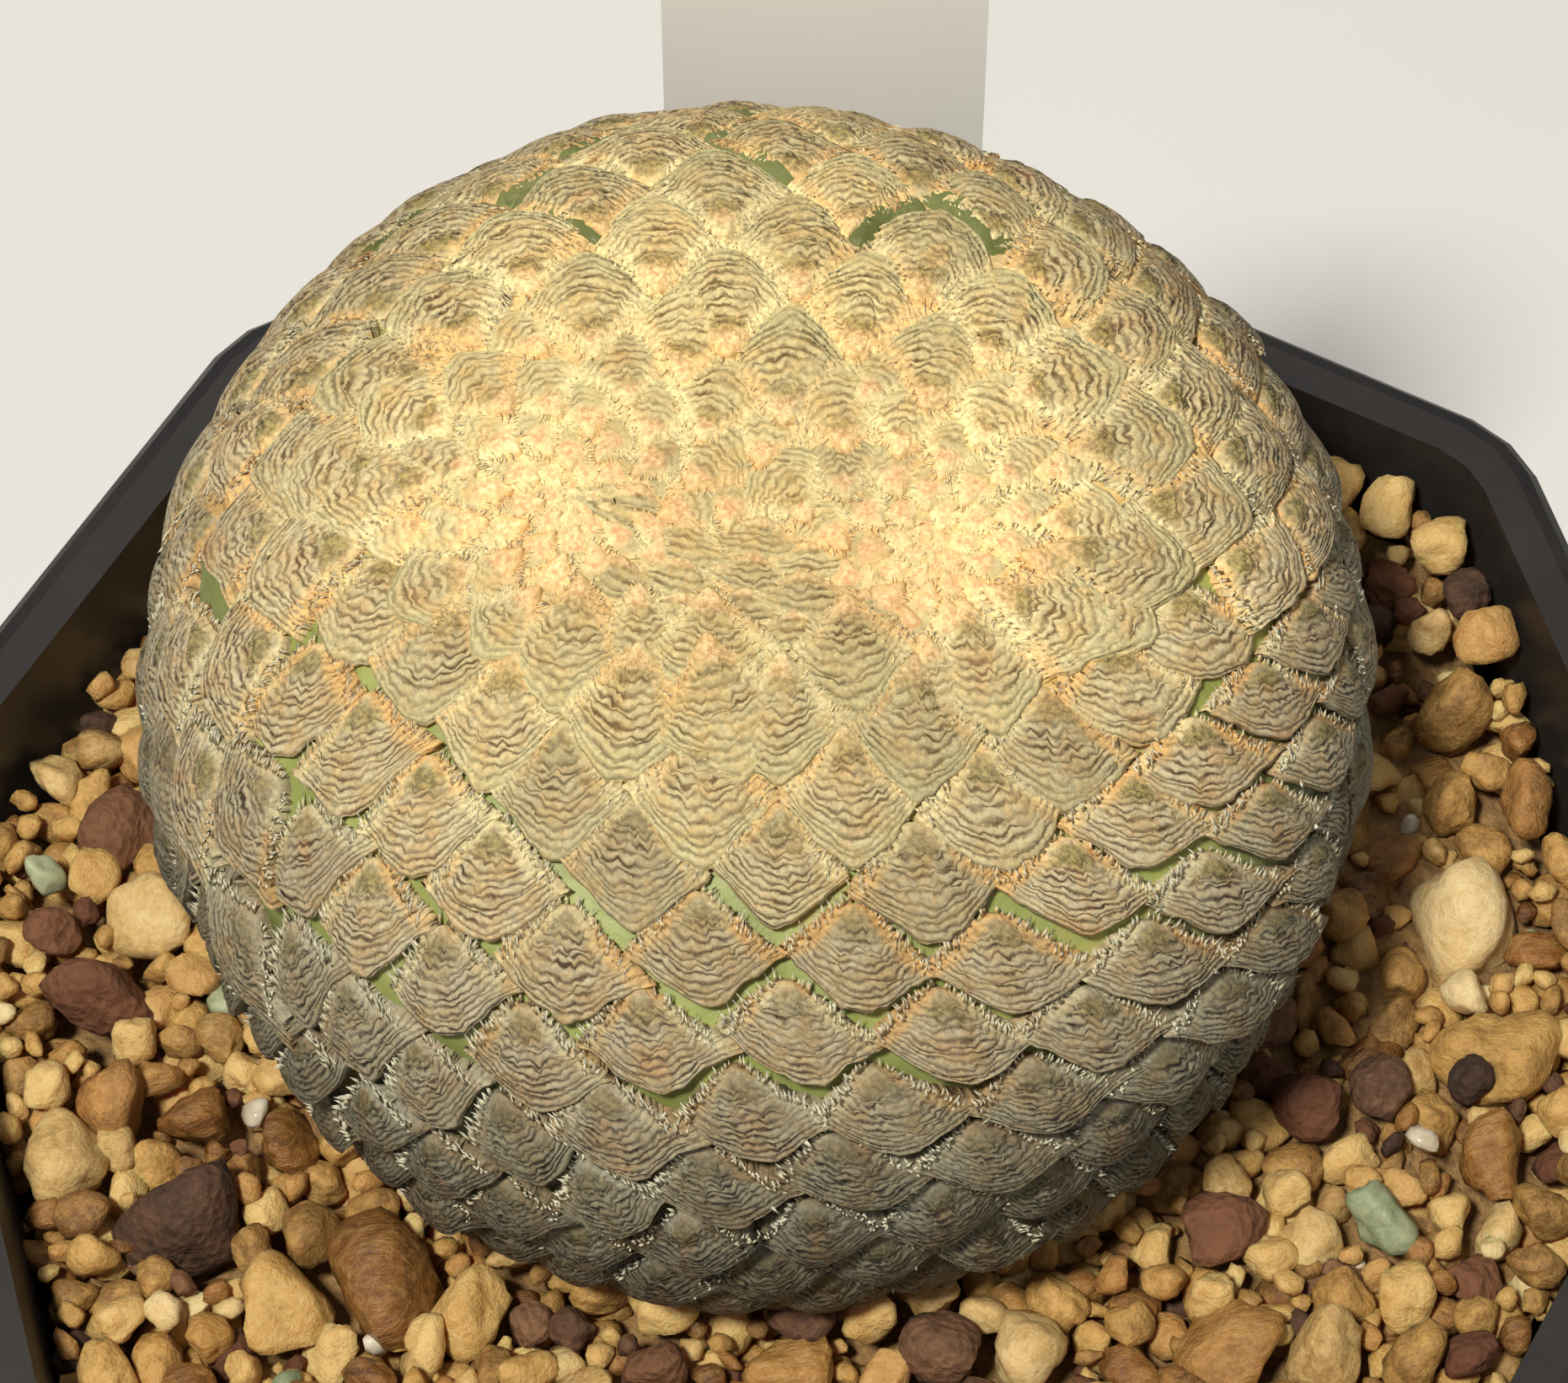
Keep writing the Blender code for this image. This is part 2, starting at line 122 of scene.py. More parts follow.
# Knots of the random crinkles: down and across, or across only
BROAD_KNOTS = (4, 5)
FINE_KNOTS = 13
FINEST_KNOTS = 21
EDGE_KNOTS = (3, 9)
PATCHY_KNOTS = 9

# Shares of even and of eased spacing between a scale's columns of points
COLUMN_SPACING = (0.65, 0.35)

# Thickness of a scale's face in mm. Pairs are for young and for old scales
SCALE_THIN = (0.45, 0.55)
SCALE_THICK = (0.5, 1.15)
SCALE_KEEL = 0.4
OLD_THICK = 0.5
OLD_THIN = -0.15
SCALE_SUNK = 0.3
LEAST_BULK = 0.12
NOSE_REACH = (0.16, 0.55)
NOSE_RISE = 0.42
EYE_RISE = 0.1
EYE_RINGS = ((0.24, 0.09), (0.38, 0.05))

# Outlines in cell sides: half heights above and below, half width, and the powers of the two edges above and
# of the two below. The square one is for scales that face along their cell
YOUNG_OUTLINE = (0.72, 0.82, 0.76, 1.04, 1.04)
OLD_OUTLINE = (0.56, 0.55, 0.8, 1.04, 1.04)
OLDEST_OUTLINE = (0.47, 0.46, 0.86, 1.0, 1.06)
SQUARE_OUTLINE = (0.5, 0.56, 0.58, 1.8, 1.8)
TIP = 0.03
BLUNT = 0.95
BLUNT_POWER = 6
TOOTH_LENGTH = 0.4
TOOTH_AGES = (0.25, 1.0)
TOOTH_SPREAD = (0.1, 1.4)
TOOTH_SPAN = (0.86, 1.0)
TAIL = 0.36
SKIRT = ((1.012, 0.88), (1.018, 0.7), (0.985, 0.4), (0.93, -1.0))

# Age and wear of a scale, by its distance from the crown's middle in mm, counted longer on the front
AGE_SPAN = (6.0, 26.0)
WEAR_SPAN = (21.0, 35.0)
FRONT_LEAD = 4.0

# Light and shade painted into each scale's tint: darker on the front and at the crown's middle, lighter at
# the sides and on the right, and the spans in mm from the crown's middle over which these set in
FRONT_PAINTED_SHADE = 0.55
SIDE_PAINTED_LIGHT = 0.5
CROWN_PAINTED_SHADE = 0.5
RIGHT_PAINTED_LIGHT = 0.45
OUTER_SPAN = (4.0, 12.0)
RIGHT_SPAN = (12.0, 20.0)

# How much a scale's outer edge lifts and leans, and where its tail sets in
LIFTS = (0.4, 0.2)
LIFT_SPAN = (16.0, 32.0)
LEANS = (-1.6, 1.0)
TAIL_SPAN = (14.0, 26.0)

# How far a scale's facing is snapped to a corner of its cell, on the front and elsewhere, how far the front
# reaches to either side in radians, and how much flatter a turned scale is
FACING_SNAP = (0.8, 0.5)
FRONT_FACING = (1.2, 1.45)
TURNED_FLAT = 0.4

# Hairs and loose flakes. Pairs of hairs are for young and for old scales, in mm; depth is a share of the half
# width. Flakes give least and greatest length in mm
HAIR_LENGTH = (0.5, 0.8)
HAIR_WIDTH = (0.05, 0.13)
HAIR_DEPTH = (0.35, 0.12)
HAIR_UPWARD = 0.35
HAIR_FAN = 0.55
HAIR_LONGEST = 0.3
HAIR_WIDEST = 0.06
FLAKES_PER_SCALE = 2
FLAKE_LENGTH = (0.3, 0.9)
FLAKES_FROM = -8.0
FLAKE_WEAR = 0.3
FLAKE_SIDES = (0.7, 0.3)
SPIKE_FACES = np.array([[0, 1, 3], [1, 2, 3], [2, 0, 3], [0, 2, 1]])

# Gaps in cell sides: for all scales, and more with age and with wear
GAP_SIDES = ("gap_right", "gap_left", "gap_below", "gap_above")
GAP_WIDTHS = (0.005, 0.05, 0.06)

# Wider gaps seen between certain scales, by their side: column and row of the scale, and width
OPEN_GROOVES = {
    "gap_below": (
        (-3, 1, 0.13), (-2, 1, 0.16), (-1, 1, 0.16), (0, 0, 0.16), (1, 0, 0.12), (1, 1, 0.12), (-2, 3, 0.14),
        (-1, 3, 0.12), (-7, 1, 0.34), (-6, -6, 0.36), (-7, -7, 0.34), (-4, -7, 0.36), (-7, -4, 0.32),
        (-1, -8, 0.25), (2, -5, 0.2)),
    "gap_above": (
        (-3, 2, 0.08), (-2, 2, 0.1), (-1, 2, 0.1), (0, 1, 0.12), (-7, 2, 0.24), (0, -1, 0.12), (1, -5, 0.12),
        (-5, 3, 0.14)),
    "gap_right": (
        (0, 0, 0.16), (0, 1, 0.12), (-3, 3, 0.12), (0, 2, 0.12), (-3, 4, 0.14), (-8, -4, 0.4), (-8, -5, 0.42),
        (-7, -6, 0.34), (-5, -6, 0.36), (-9, -3, 0.4), (-1, -1, 0.15)),
    "gap_left": ((1, 0, 0.1),)}

# Green flanks just under the scales beside gaps at least this wide: ridges, columns, rows each, how much
# flatter than the scale they are, and how much painted shade darkens them in the grooves
BARE_FROM = 0.3
BARE_DETAIL = (6, 16, 2)
BARE_FLAT = 0.25
BARE_PAINTED_SHADE = 0.55

# Small new scales about the growing points, and wide ones in the seam between them, in mm
NEW_SCALE_SIZES = (0.6, 0.33)
NEW_SCALE_REACH = 11.0
NEW_SCALE_OVERLAP = 1.15
NEW_SCALE_SPAN = 1.32
NEW_SCALE_CLEAR = 0.42
NEW_SCALE_TURN = 0.12
NEW_SCALE_BLEND = (2.5, 6.0)
SPIRAL_POINTS = 800
PATCH_REACH = 15.0
PATCH_STEP = 0.25
PATCH_CLEAR = 0.6
PATCH_SPACE = 0.6
PATCH_OVERLAP = 0.75
PATCH_SPAN = 1.4
GRID_START = (4.9, 8.8)
GRID_BEHIND = (-0.5, 0.6)
GOLDEN_ANGLE = math.radians(137.508)
SEAM_ROWS = 6
SEAM_START = 0.4
SEAM_STEP = 0.8
SEAM_SIZE = (5.4, 2.1)
SEAM_YOUTH = 0.25
SEAM_HALVES = (4.6, 2.4)
SEAM_PITCH = 0.92
SEAM_REACH = 5.0
SEAM_BEND = 0.035
SEAM_SAG = 0.02
SCALES_BELOW_GRAVEL = 3.0
SCALE_JITTER = (0.045, 0.11)
SCALE_SEED = 5
SKIN_RINGS = 70
SKIN_SIDES = 96
SKIN_FUZZ = 0.3
SKIN_FELT = 0.46
FELT_AGES = (0.25, 0.6)

# Loose gravel, in mm. Sizes give the least and greatest radius, how many at most, and places tried
GRAVEL_DEPTH = 3.2
GRAVEL_RISE = 1.5
GRAVEL_SEED = 3
SOIL_GAP = 0.3
GRAIN_SIZES = ((1.3, 1.9, 90, 24), (0.8, 1.35, 1200, 36), (0.4, 0.7, 900, 40))
GRAIN_KINDS = {"ochre": 0.72, "cream": 0.09, "honey": 0.1, "lava": 0.08, "green": 0.003, "quartz": 0.006}
GRAIN_MISSES = 25
GRAIN_TOUCH = 0.84
GRAIN_PLANT_GAP = 0.3
GRAIN_WALL_GAP = 0.6
GRAIN_FINE_FROM = 0.95
GRAIN_SEEN_FROM = 0.1

# Shapes of the grains: planes that cut them, how far out and how sharply, and lumps by waves round the grain
GRAIN_SHAPES = 36
GRAIN_PLANES = (8, 14)
PLANE_REACH = (0.62, 1.05)
PLANE_SHARP = (12.0, 34.0)
GRAIN_ROUND = 0.85
GRAIN_LUMPS = (3, 4, 5, 6, 7, 8, 9, 10, 11, 12, 13, 14)
LUMP_HEIGHT = 0.18
GRAIN_STRETCH = ((0.95, 1.25), (0.8, 1.05), (0.68, 0.95))
GRAIN_FLAT = 0.9
GRAIN_SWELL = 1.04

# Grains placed one by one: right and back of the pot's middle in the plant's front axes, radius and kind
CHOSEN_GRAINS = (
    (29.9, 3.8, 2.9, "cream"), (30.5, -3.2, 2.6, "ochre"), (30.1, -8.8, 1.9, "honey"),
    (25.1, -12.0, 1.5, "green"), (25.5, -5.6, 1.3, "lava"), (29.3, -5.2, 1.0, "lava"),
    (22.4, -6.4, 1.5, "lava"), (17.9, -12.7, 1.6, "lava"), (18.5, -10.4, 1.1, "cream"),
    (22.3, -18.6, 1.8, "cream"), (18.3, -18.4, 2.0, "honey"), (-18.2, -15.7, 2.4, "honey"),
    (-12.6, -14.6, 1.1, "cream"), (-14.1, -17.3, 1.7, "ochre"), (-6.2, -17.1, 1.5, "ochre"),
    (0.2, -17.3, 1.4, "lava"), (2.9, -17.3, 1.1, "ochre"), (5.2, -16.2, 1.1, "cream"),
    (5.9, -18.9, 1.6, "lava"), (9.3, -18.9, 1.8, "cream"), (-0.5, -19.7, 1.8, "honey"),
    (-6.2, -20.0, 1.4, "lava"), (-21.2, -13.5, 1.5, "ochre"), (-22.0, -17.3, 1.9, "ochre"),
    (-26.2, -13.1, 2.5, "lava"), (-29.1, 2.4, 1.8, "cream"), (-30.8, 7.0, 1.7, "lava"),
    (-31.1, -1.8, 1.9, "lava"), (-33.9, 4.2, 1.1, "green"), (-26.4, -7.9, 1.7, "honey"),
    (-30.1, -7.0, 1.9, "ochre"), (-32.1, -10.2, 1.8, "cream"), (-23.7, -7.9, 0.7, "quartz"),
    (27.1, -8.3, 0.6, "quartz"), (25.0, 25.3, 1.6, "ochre"), (27.4, 23.8, 1.3, "ochre"),
    (29.8, 21.6, 1.6, "ochre"), (31.4, 16.8, 1.3, "ochre"), (29.0, 17.4, 1.1, "cream"),
    (30.0, 13.6, 1.8, "ochre"), (33.0, 8.9, 1.6, "ochre"), (29.6, 9.4, 1.3, "ochre"))

# Colours of the scales in sRGB from 0 to 255: young, full-grown and, for some, old and worn
SCALE_COLOURS = {
    "crest": ((218, 200, 144), (196, 181, 145), (196, 187, 154)),
    "warm_crest": ((226, 190, 122), (186, 152, 100), (182, 156, 112)),
    # Valleys between ridges: brown, darkened further as painted shade, near black on worn scales
    "valley": ((124, 94, 46), (78, 56, 27), (20, 16, 8)),
    "eye": ((144, 116, 54), (124, 114, 62)),
    "eye_light": ((180, 152, 82), (156, 140, 84)),
    "pale_fringe": ((250, 232, 172), (222, 210, 160), (220, 214, 186)),
    "orange_fringe": ((246, 200, 130), (222, 166, 88), (188, 156, 106)),
    # Walls under the scales' edges: painted shade in the creases, orange on young scales and dark brown on
    # grown ones
    "wall_shade": ((222, 170, 104), (70, 54, 28)),
    "hair_tip": ((255, 240, 196), (230, 226, 198))}
RUST_COLOURS = ((202, 150, 92), (124, 86, 52))
NOSE_COLOURS = ((240, 182, 122), (255, 216, 160))
UNDER_COLOUR = (208, 206, 152)

# Attributes that the scales' meshes carry for their material
SCALE_FIELDS = (
    "phase", "level", "ridge", "edge", "wall_shade", "age", "tint", "stain", "across", "hair", "young", "old")

# Attributes that are the same all over a scale, with the scale's feature that each comes from
OWN_FIELDS = {"age": "age", "young": "youth", "tint": "tint", "stain": "stain", "old": "old"}

# How much light goes into ochre and cream stones, and how far in m
STONE_GLOW = {"subsurface_weight": 0.3, "subsurface_scale": 0.0015}

# Label, in mm, as in the solids
LABEL_WIDTH = 14.4
LABEL_PLACE = (1.0, 33.4)
LABEL_HALF_SLIT = 0.5

# Camera, as it stands in the photo's view
CAMERA_LENS = 120.0
CAMERA_SENSOR = 36.0
CAMERA_CLIP = 0.01
CAMERA_RISE = math.radians(54.5)
CAMERA_TARGET = (2.41, 11.38, 72.0)
CAMERA_DISTANCE = 235.0

# Lights: direction from the plant's front and height in degrees, distance and size in m, power in W, colour
LIGHTS = {
    "key": (33.0, 63.0, 0.9, 0.12, 8.5, (1.0, 0.975, 0.9)),
    "fill": (-60.0, 40.0, 0.9, 0.7, 0.46, (1.0, 0.95, 0.9)),
    "back": (170.0, 50.0, 0.9, 0.6, 0.85, (1.0, 0.96, 0.9))}
STUDIO_COLOUR = (0.95, 0.97, 1.0, 1.0)
STUDIO_LIGHT = 0.16
FLOOR_REACH = 1.5


def front_to_world(x, y):
    """Turn a place given in the plant's front-facing axes into the pot's axes."""
    cosine, sine = math.cos(FRONT_TURN), math.sin(FRONT_TURN)
    return cosine * x - sine * y, sine * x + cosine * y


def world_to_front(x, y):
    """The opposite of front_to_world."""
    cosine, sine = math.cos(FRONT_TURN), math.sin(FRONT_TURN)
    return cosine * x + sine * y, cosine * y - sine * x


def smooth_step(low, high, value):
    """0 up to low, 1 from high, eased between them."""
    share = np.clip((value - low) / (high - low), 0.0, 1.0)
    return share * share * (3.0 - 2.0 * share)


def blend(pair, share):
    """From the first value of a pair at share 0 to the second at share 1."""
    return pair[0] + (pair[1] - pair[0]) * share


def cross(first, second):
    """Signed area between two steps on the lattice."""
    return np.real(first) * np.imag(second) - np.imag(first) * np.real(second)


def in_steps(place, step_u, step_v):
    """A place, or many, as shares of a cell's two sides."""
    area = cross(step_u, step_v)
    return cross(place, step_v) / area, cross(step_u, place) / area


def spreader(count, axes):
    """A function that shapes one value for each of count scales to spread over that many more axes."""
    return lambda values: np.asarray(values).reshape(count, *[1] * axes)


def filled(fields, shape):
    """Named fields, each spread over all the points."""
    return {key: np.broadcast_to(value, shape) for key, value in fields.items()}


def body_profile():
    """Radius and height along the plant's outline, from crown to root, with its arc length, in mm."""
    angle = np.linspace(0.0, math.pi, ARC_POINTS)
    sine, cosine = np.sin(angle), np.cos(angle)
    reach = (np.abs(sine) ** PROFILE_POWER + np.abs(cosine) ** PROFILE_POWER) ** (-1 / PROFILE_POWER)
    r = PLANT_RADIUS * sine * reach
    z = np.where(cosine > 0, CROWN_HEIGHT, ROOT_HEIGHT) * cosine * reach
    dimple = CROWN_DIMPLE * np.exp(-(r / DIMPLE_RADIUS) ** 2)
    z = z - np.where(cosine > 0, dimple, 0.0)
    bulb = (cosine > 0) | (r > NECK_RADIUS)
    r, z = r[bulb], z[bulb]
    share = np.linspace(0.0, 1.0, ARC_POINTS // 6)[1:]
    r = np.concatenate([r, r[-1] + share * (NECK_END[0] - r[-1])])
    z = np.concatenate([z, z[-1] + share * (-NECK_END[1] - z[-1])])
    step = np.hypot(np.diff(r), np.diff(z))
    arc = np.concatenate([[0.0], np.cumsum(step)])
    return r, z, arc


def wrap_radius(r, arc):
    """Distance from the middle of the flat lattice that each place on the outline stands for."""
    ring_area = np.concatenate([[0.0], np.cumsum((r[1:] + r[:-1]) / 2 * np.diff(arc))])
    return WRAP_MIX * arc + (1 - WRAP_MIX) * np.sqrt(2 * ring_area)


def squeeze(flat):
    """Pull the flat lattice together about the two growing points, where new scales are small."""
    place = flat.copy()
    for _ in range(SQUEEZE_ROUNDS):
        spread = place.copy()
        for centre in GROWING_POINTS:
            gap = place - centre
            spread += GROWTH_PULL * gap / np.sqrt(np.abs(gap) ** 2 + GROWTH_SOFT ** 2)
        place += SQUEEZE_STEP * (flat - spread)
    along = np.clip((np.abs(place) - TWIST_MIDDLE) / TWIST_SPAN, -TWIST_LIMIT, TWIST_LIMIT)
    return place * np.exp(1j * (TWIST[0] * along + TWIST[1] * along ** 2))


def crown_direction(place):
    """Unit direction on the flat lattice that leads away from the growing points."""
    gaps = [place - centre for centre in GROWING_POINTS]
    away = sum(gap / np.sqrt(np.abs(gap) ** 2 + GROWTH_SOFT ** 2) for gap in gaps)
    return away / (np.abs(away) + 1e-6)


def on_body(place, relief):
    """Points on the plant, in its upright frame in mm, for places on the lattice, raised by relief."""
    r, z, arc = body_profile()
    reach = wrap_radius(r, arc)
    slope_r, slope_z = np.gradient(r, arc), np.gradient(z, arc)
    radius = np.abs(place)
    angle = np.angle(place * 1j)
    out_r = np.interp(radius, reach, -slope_z)
    out_z = np.interp(radius, reach, slope_r)
    ring = np.interp(radius, reach, r) + relief * out_r
    height = np.interp(radius, reach, z) + relief * out_z
    return np.stack([ring * np.sin(angle), -ring * np.cos(angle), height], axis=-1)


def plant_matrix():
    """The plant's lean and place in the pot, for points in its upright frame in mm."""
    x, y = front_to_world(*PLANT_OFFSET)
    return (Matrix.Scale(MM, 4) @ Matrix.Translation((x, y, POT_HEIGHT + PLANT_RISE))
            @ Matrix.Rotation(FRONT_TURN, 4, "Z") @ Matrix.Rotation(PLANT_LEAN, 4, "X"))


def moved(points, matrix):
    """Points of an array after a 4x4 matrix."""
    matrix = np.array(matrix)
    return points @ matrix[:3, :3].T + matrix[:3, 3]


def add_object(name, data):
    """An object in the scene for a mesh, a camera or a light."""
    thing = bpy.data.objects.new(name, data)
    bpy.context.scene.collection.objects.link(thing)
    return thing


def array_object(name, points, faces, values, material, smooth):
    """A mesh object from points in metres, equal-sided faces and named values for each point."""
    sides = faces.shape[1]
    mesh = bpy.data.meshes.new(name)
    mesh.vertices.add(len(points))
    mesh.vertices.foreach_set("co", points.astype(np.float32).ravel())
    mesh.loops.add(faces.size)
    mesh.loops.foreach_set("vertex_index", faces.astype(np.int32).ravel())
    mesh.polygons.add(len(faces))
    mesh.polygons.foreach_set("loop_start", np.arange(len(faces), dtype=np.int32) * sides)
    mesh.update(calc_edges=True)
    mesh.validate()
    if smooth:
        mesh.shade_smooth()
    for label, value in values.items():
        layer = mesh.attributes.new(label, "FLOAT", "POINT")
        layer.data.foreach_set("value", value.astype(np.float32))
    mesh.materials.append(material)
    return add_object(name, mesh)


def form_object(name, form, material, smooth=False):
    """A mesh object from a bmesh, which is freed."""
    mesh = bpy.data.meshes.new(name)
    form.to_mesh(mesh)
    form.free()
    if smooth:
        mesh.shade_smooth()
    mesh.materials.append(material)
    return add_object(name, mesh)


def grid_faces(rows, columns):
    """Quads of a grid of rows times columns points, facing out of a scale."""
    index = np.arange(rows * columns).reshape(rows, columns)
    return np.stack([index[1:, :-1], index[1:, 1:], index[:-1, 1:], index[:-1, :-1]], -1).reshape(-1, 4)


def in_seam(place):
    """Whether a place lies in the seam of wide scales in front of the two growing points."""
    turned = place * np.conj(GROWTH_AXIS)
    depth = SEAM_START + SEAM_STEP * (SEAM_ROWS - 1) / 2
    return (np.real(turned) / SEAM_HALVES[0]) ** 2 + ((np.imag(turned) + depth) / SEAM_HALVES[1]) ** 2 < 1


def above_gravel(place):
    """Whether a place on the lattice lies above the gravel, or close enough under it to show."""
    x, y, z = moved(on_body(place, 0.0), plant_matrix()).T / MM
    return z > gravel_level(x, y) - SCALES_BELOW_GRAVEL


def grid_cells(draw):
    """The scales of the squeezed square lattice, with each one's two cell sides as placed."""
    line = np.arange(-LATTICE_STEPS, LATTICE_STEPS + 1)
    column, row = [axis.ravel() for axis in np.meshgrid(line, line, indexing="ij")]
    flat = GRID_ORIGIN + column * ACROSS + row * DOWN
    centre = squeeze(flat)
    kept = np.abs(centre) < LATTICE_REACH
    for growth in GROWING_POINTS:
        gap = (centre - growth) * np.conj(GROWTH_AXIS)
        behind = smooth_step(*GRID_BEHIND, np.imag(gap) / np.abs(gap))
        kept &= np.abs(gap) > blend(GRID_START, behind)
    kept &= ~in_seam(centre) & above_gravel(centre)
    column, row, flat, centre = column[kept], row[kept], flat[kept], centre[kept]
    step_u = squeeze(flat + ACROSS / 4) - squeeze(flat - ACROSS / 4)
    step_v = squeeze(flat + DOWN / 4) - squeeze(flat - DOWN / 4)
    part_u, part_v = in_steps(crown_direction(centre), step_u, step_v)

    # Scales face away from the crown, snapped towards a corner of their cell
    facing = np.arctan2(part_v, part_u)
    aside = (facing - math.pi / 4 + math.pi) % (2 * math.pi) - math.pi
    ahead = (aside > -FRONT_FACING[0]) & (aside < FRONT_FACING[1])
    diagonal = np.where(ahead, 0.0, np.round(aside / (math.pi / 2)) * (math.pi / 2))
    diagonal = np.where(~ahead & (diagonal == 0), np.sign(aside) * math.pi / 2, diagonal)
    turned = np.where(ahead, *FACING_SNAP) * (diagonal - aside)
    aside = aside + turned
    facing = math.pi / 4 + aside + SCALE_JITTER[1] * draw.uniform(-1, 1, len(facing))
    shift = draw.uniform(-1, 1, len(flat)) + 1j * draw.uniform(-1, 1, len(flat))
    flat = flat + SCALE_JITTER[0] * SCALE_PITCH * shift
    return {"column": column, "row": row, "flat": flat, "centre": centre, "facing": facing,
            "step_u": 2 * step_u, "step_v": 2 * step_v, "flatness": TURNED_FLAT * np.abs(turned)}


def cell_gap(place, cells):
    """How far each place is from the middle of the nearest cell, in cell sides; 0.5 at a cell's border."""
    u, v = in_steps(place[:, None] - cells["centre"], cells["step_u"], cells["step_v"])
    return np.maximum(np.abs(u), np.abs(v)).min(1)


def patch_cells(others, draw):
    """Small scales on the bare spots that the other families leave about the crown."""
    line = np.arange(-PATCH_REACH, PATCH_REACH, PATCH_STEP)
    place = (line[:, None] + 1j * line).ravel()
    place = place[np.abs(place) < PATCH_REACH]
    gap = np.min([cell_gap(place, cells) for cells in others], axis=0)
    centres, sizes = [], []
    while gap.max() > PATCH_CLEAR:
        spot = place[np.argmax(gap)]
        size = new_scale_size(spot) * PATCH_OVERLAP
        gap = np.minimum(gap, PATCH_SPACE * np.abs(place - spot) / size)
        centres.append(spot)
        sizes.append(size)
    centre, size = np.array(centres), np.array(sizes)
    outward = crown_direction(centre)
    return upright_cells(centre, outward / np.abs(outward), size * PATCH_SPAN, size * PATCH_SPAN, draw)


def new_scale_size(place):
    """Side in mm of a new scale at a place near the growing points."""
    return new_scale_side(np.minimum(*[np.abs(place - growth) for growth in GROWING_POINTS]))


def new_scale_side(distance):
    """Side in mm of a new scale at a distance from its growing point."""
    return NEW_SCALE_SIZES[0] + NEW_SCALE_SIZES[1] * distance


def new_cells(others, draw):
    """Small scales in a golden-angle spiral about each growing point, larger with distance."""
    distance = np.linspace(0.0, NEW_SCALE_REACH, SPIRAL_POINTS)
    size = new_scale_side(distance)
    number = np.concatenate([[0.0], np.cumsum((2 * math.pi * distance / size ** 2)[1:] * np.diff(distance))])
    count = np.arange(1, int(number[-1]))
    centres, outwards = [], []
    for start, (growth, other) in enumerate((GROWING_POINTS, GROWING_POINTS[::-1])):
        reach = np.interp(count, number, distance)
        gap = reach * np.exp(1j * (count * GOLDEN_ANGLE + start))
        own = np.abs(gap) < np.abs(growth + gap - other)
        gap, reach = gap[own], reach[own]
        mixed = gap / np.abs(gap) + smooth_step(*NEW_SCALE_BLEND, reach) * crown_direction(growth + gap)
        centres.append(growth + gap)
        outwards.append(mixed / np.abs(mixed))
    centre, outward = np.concatenate(centres), np.concatenate(outwards)
    kept = ~in_seam(centre) & (cell_gap(centre, others) > NEW_SCALE_CLEAR)
    centre, outward = centre[kept], outward[kept]
    side = new_scale_size(centre) * NEW_SCALE_OVERLAP * NEW_SCALE_SPAN
    return upright_cells(centre, outward, side, side, draw)


def seam_cells(draw):
    """Wide, short scales in staggered rows, squeezed together in front of the growing points."""
    places, outwards = [], []
    for row in range(SEAM_ROWS):
        y = -SEAM_START - SEAM_STEP * row
        for column in (-0.5, 0.5) if row % 2 else (-1.0, 0.0, 1.0):
            x = column * SEAM_SIZE[0] * SEAM_PITCH + draw.uniform(-0.3, 0.3)
            if abs(x) <= SEAM_REACH:
                places.append(GROWTH_AXIS * (x + 1j * (y + SEAM_SAG * x * x)))
                outwards.append(GROWTH_AXIS * -1j * np.exp(1j * SEAM_BEND * x))
    count = len(places)
    width, height = [side * draw.uniform(0.85, 1.1, count) for side in SEAM_SIZE]
    cells = upright_cells(np.array(places), np.array(outwards), width, height, draw)
    cells["seam"] = np.ones(count)
    return cells


def upright_cells(centre, outward, width, height, draw):
    """Diamond cells with given centres, outward directions, widths and heights."""
    count = len(centre)
    side = outward * 1j
    facing = math.pi / 4 + draw.uniform(-NEW_SCALE_TURN, NEW_SCALE_TURN, count)
    return {"centre": centre, "facing": facing, "step_u": (outward * height - side * width) / 2,
            "step_v": (outward * height + side * width) / 2, "flatness": np.zeros(count)}


def measure_cells(cells):
    """Adds each cell's mean side and its length from crown-side corner to outer one."""
    step_u, step_v = cells["step_u"], cells["step_v"]
    part_u, part_v = np.cos(cells["facing"]), np.sin(cells["facing"])
    length = np.abs(part_u * step_u + part_v * step_v)
    cells["size"] = np.sqrt(np.abs(cross(step_u, step_v)))
    cells["length"] = length / np.maximum(np.abs(part_u), np.abs(part_v))


def spikes(cells, corners, spread, fields):
    """Spikes of four points on scales, from the place and relief of each corner, with their attributes."""
    points = [on_body(cell_place(cells, place, spread), relief) for place, relief in corners]
    points = np.stack(points, axis=2)
    plain = {"phase": 0.0, "ridge": 0.0, "wall_shade": 0.0, "edge": 0.0, "across": 1.0}
    return points, SPIKE_FACES, filled({**plain, **fields}, points.shape[:3])


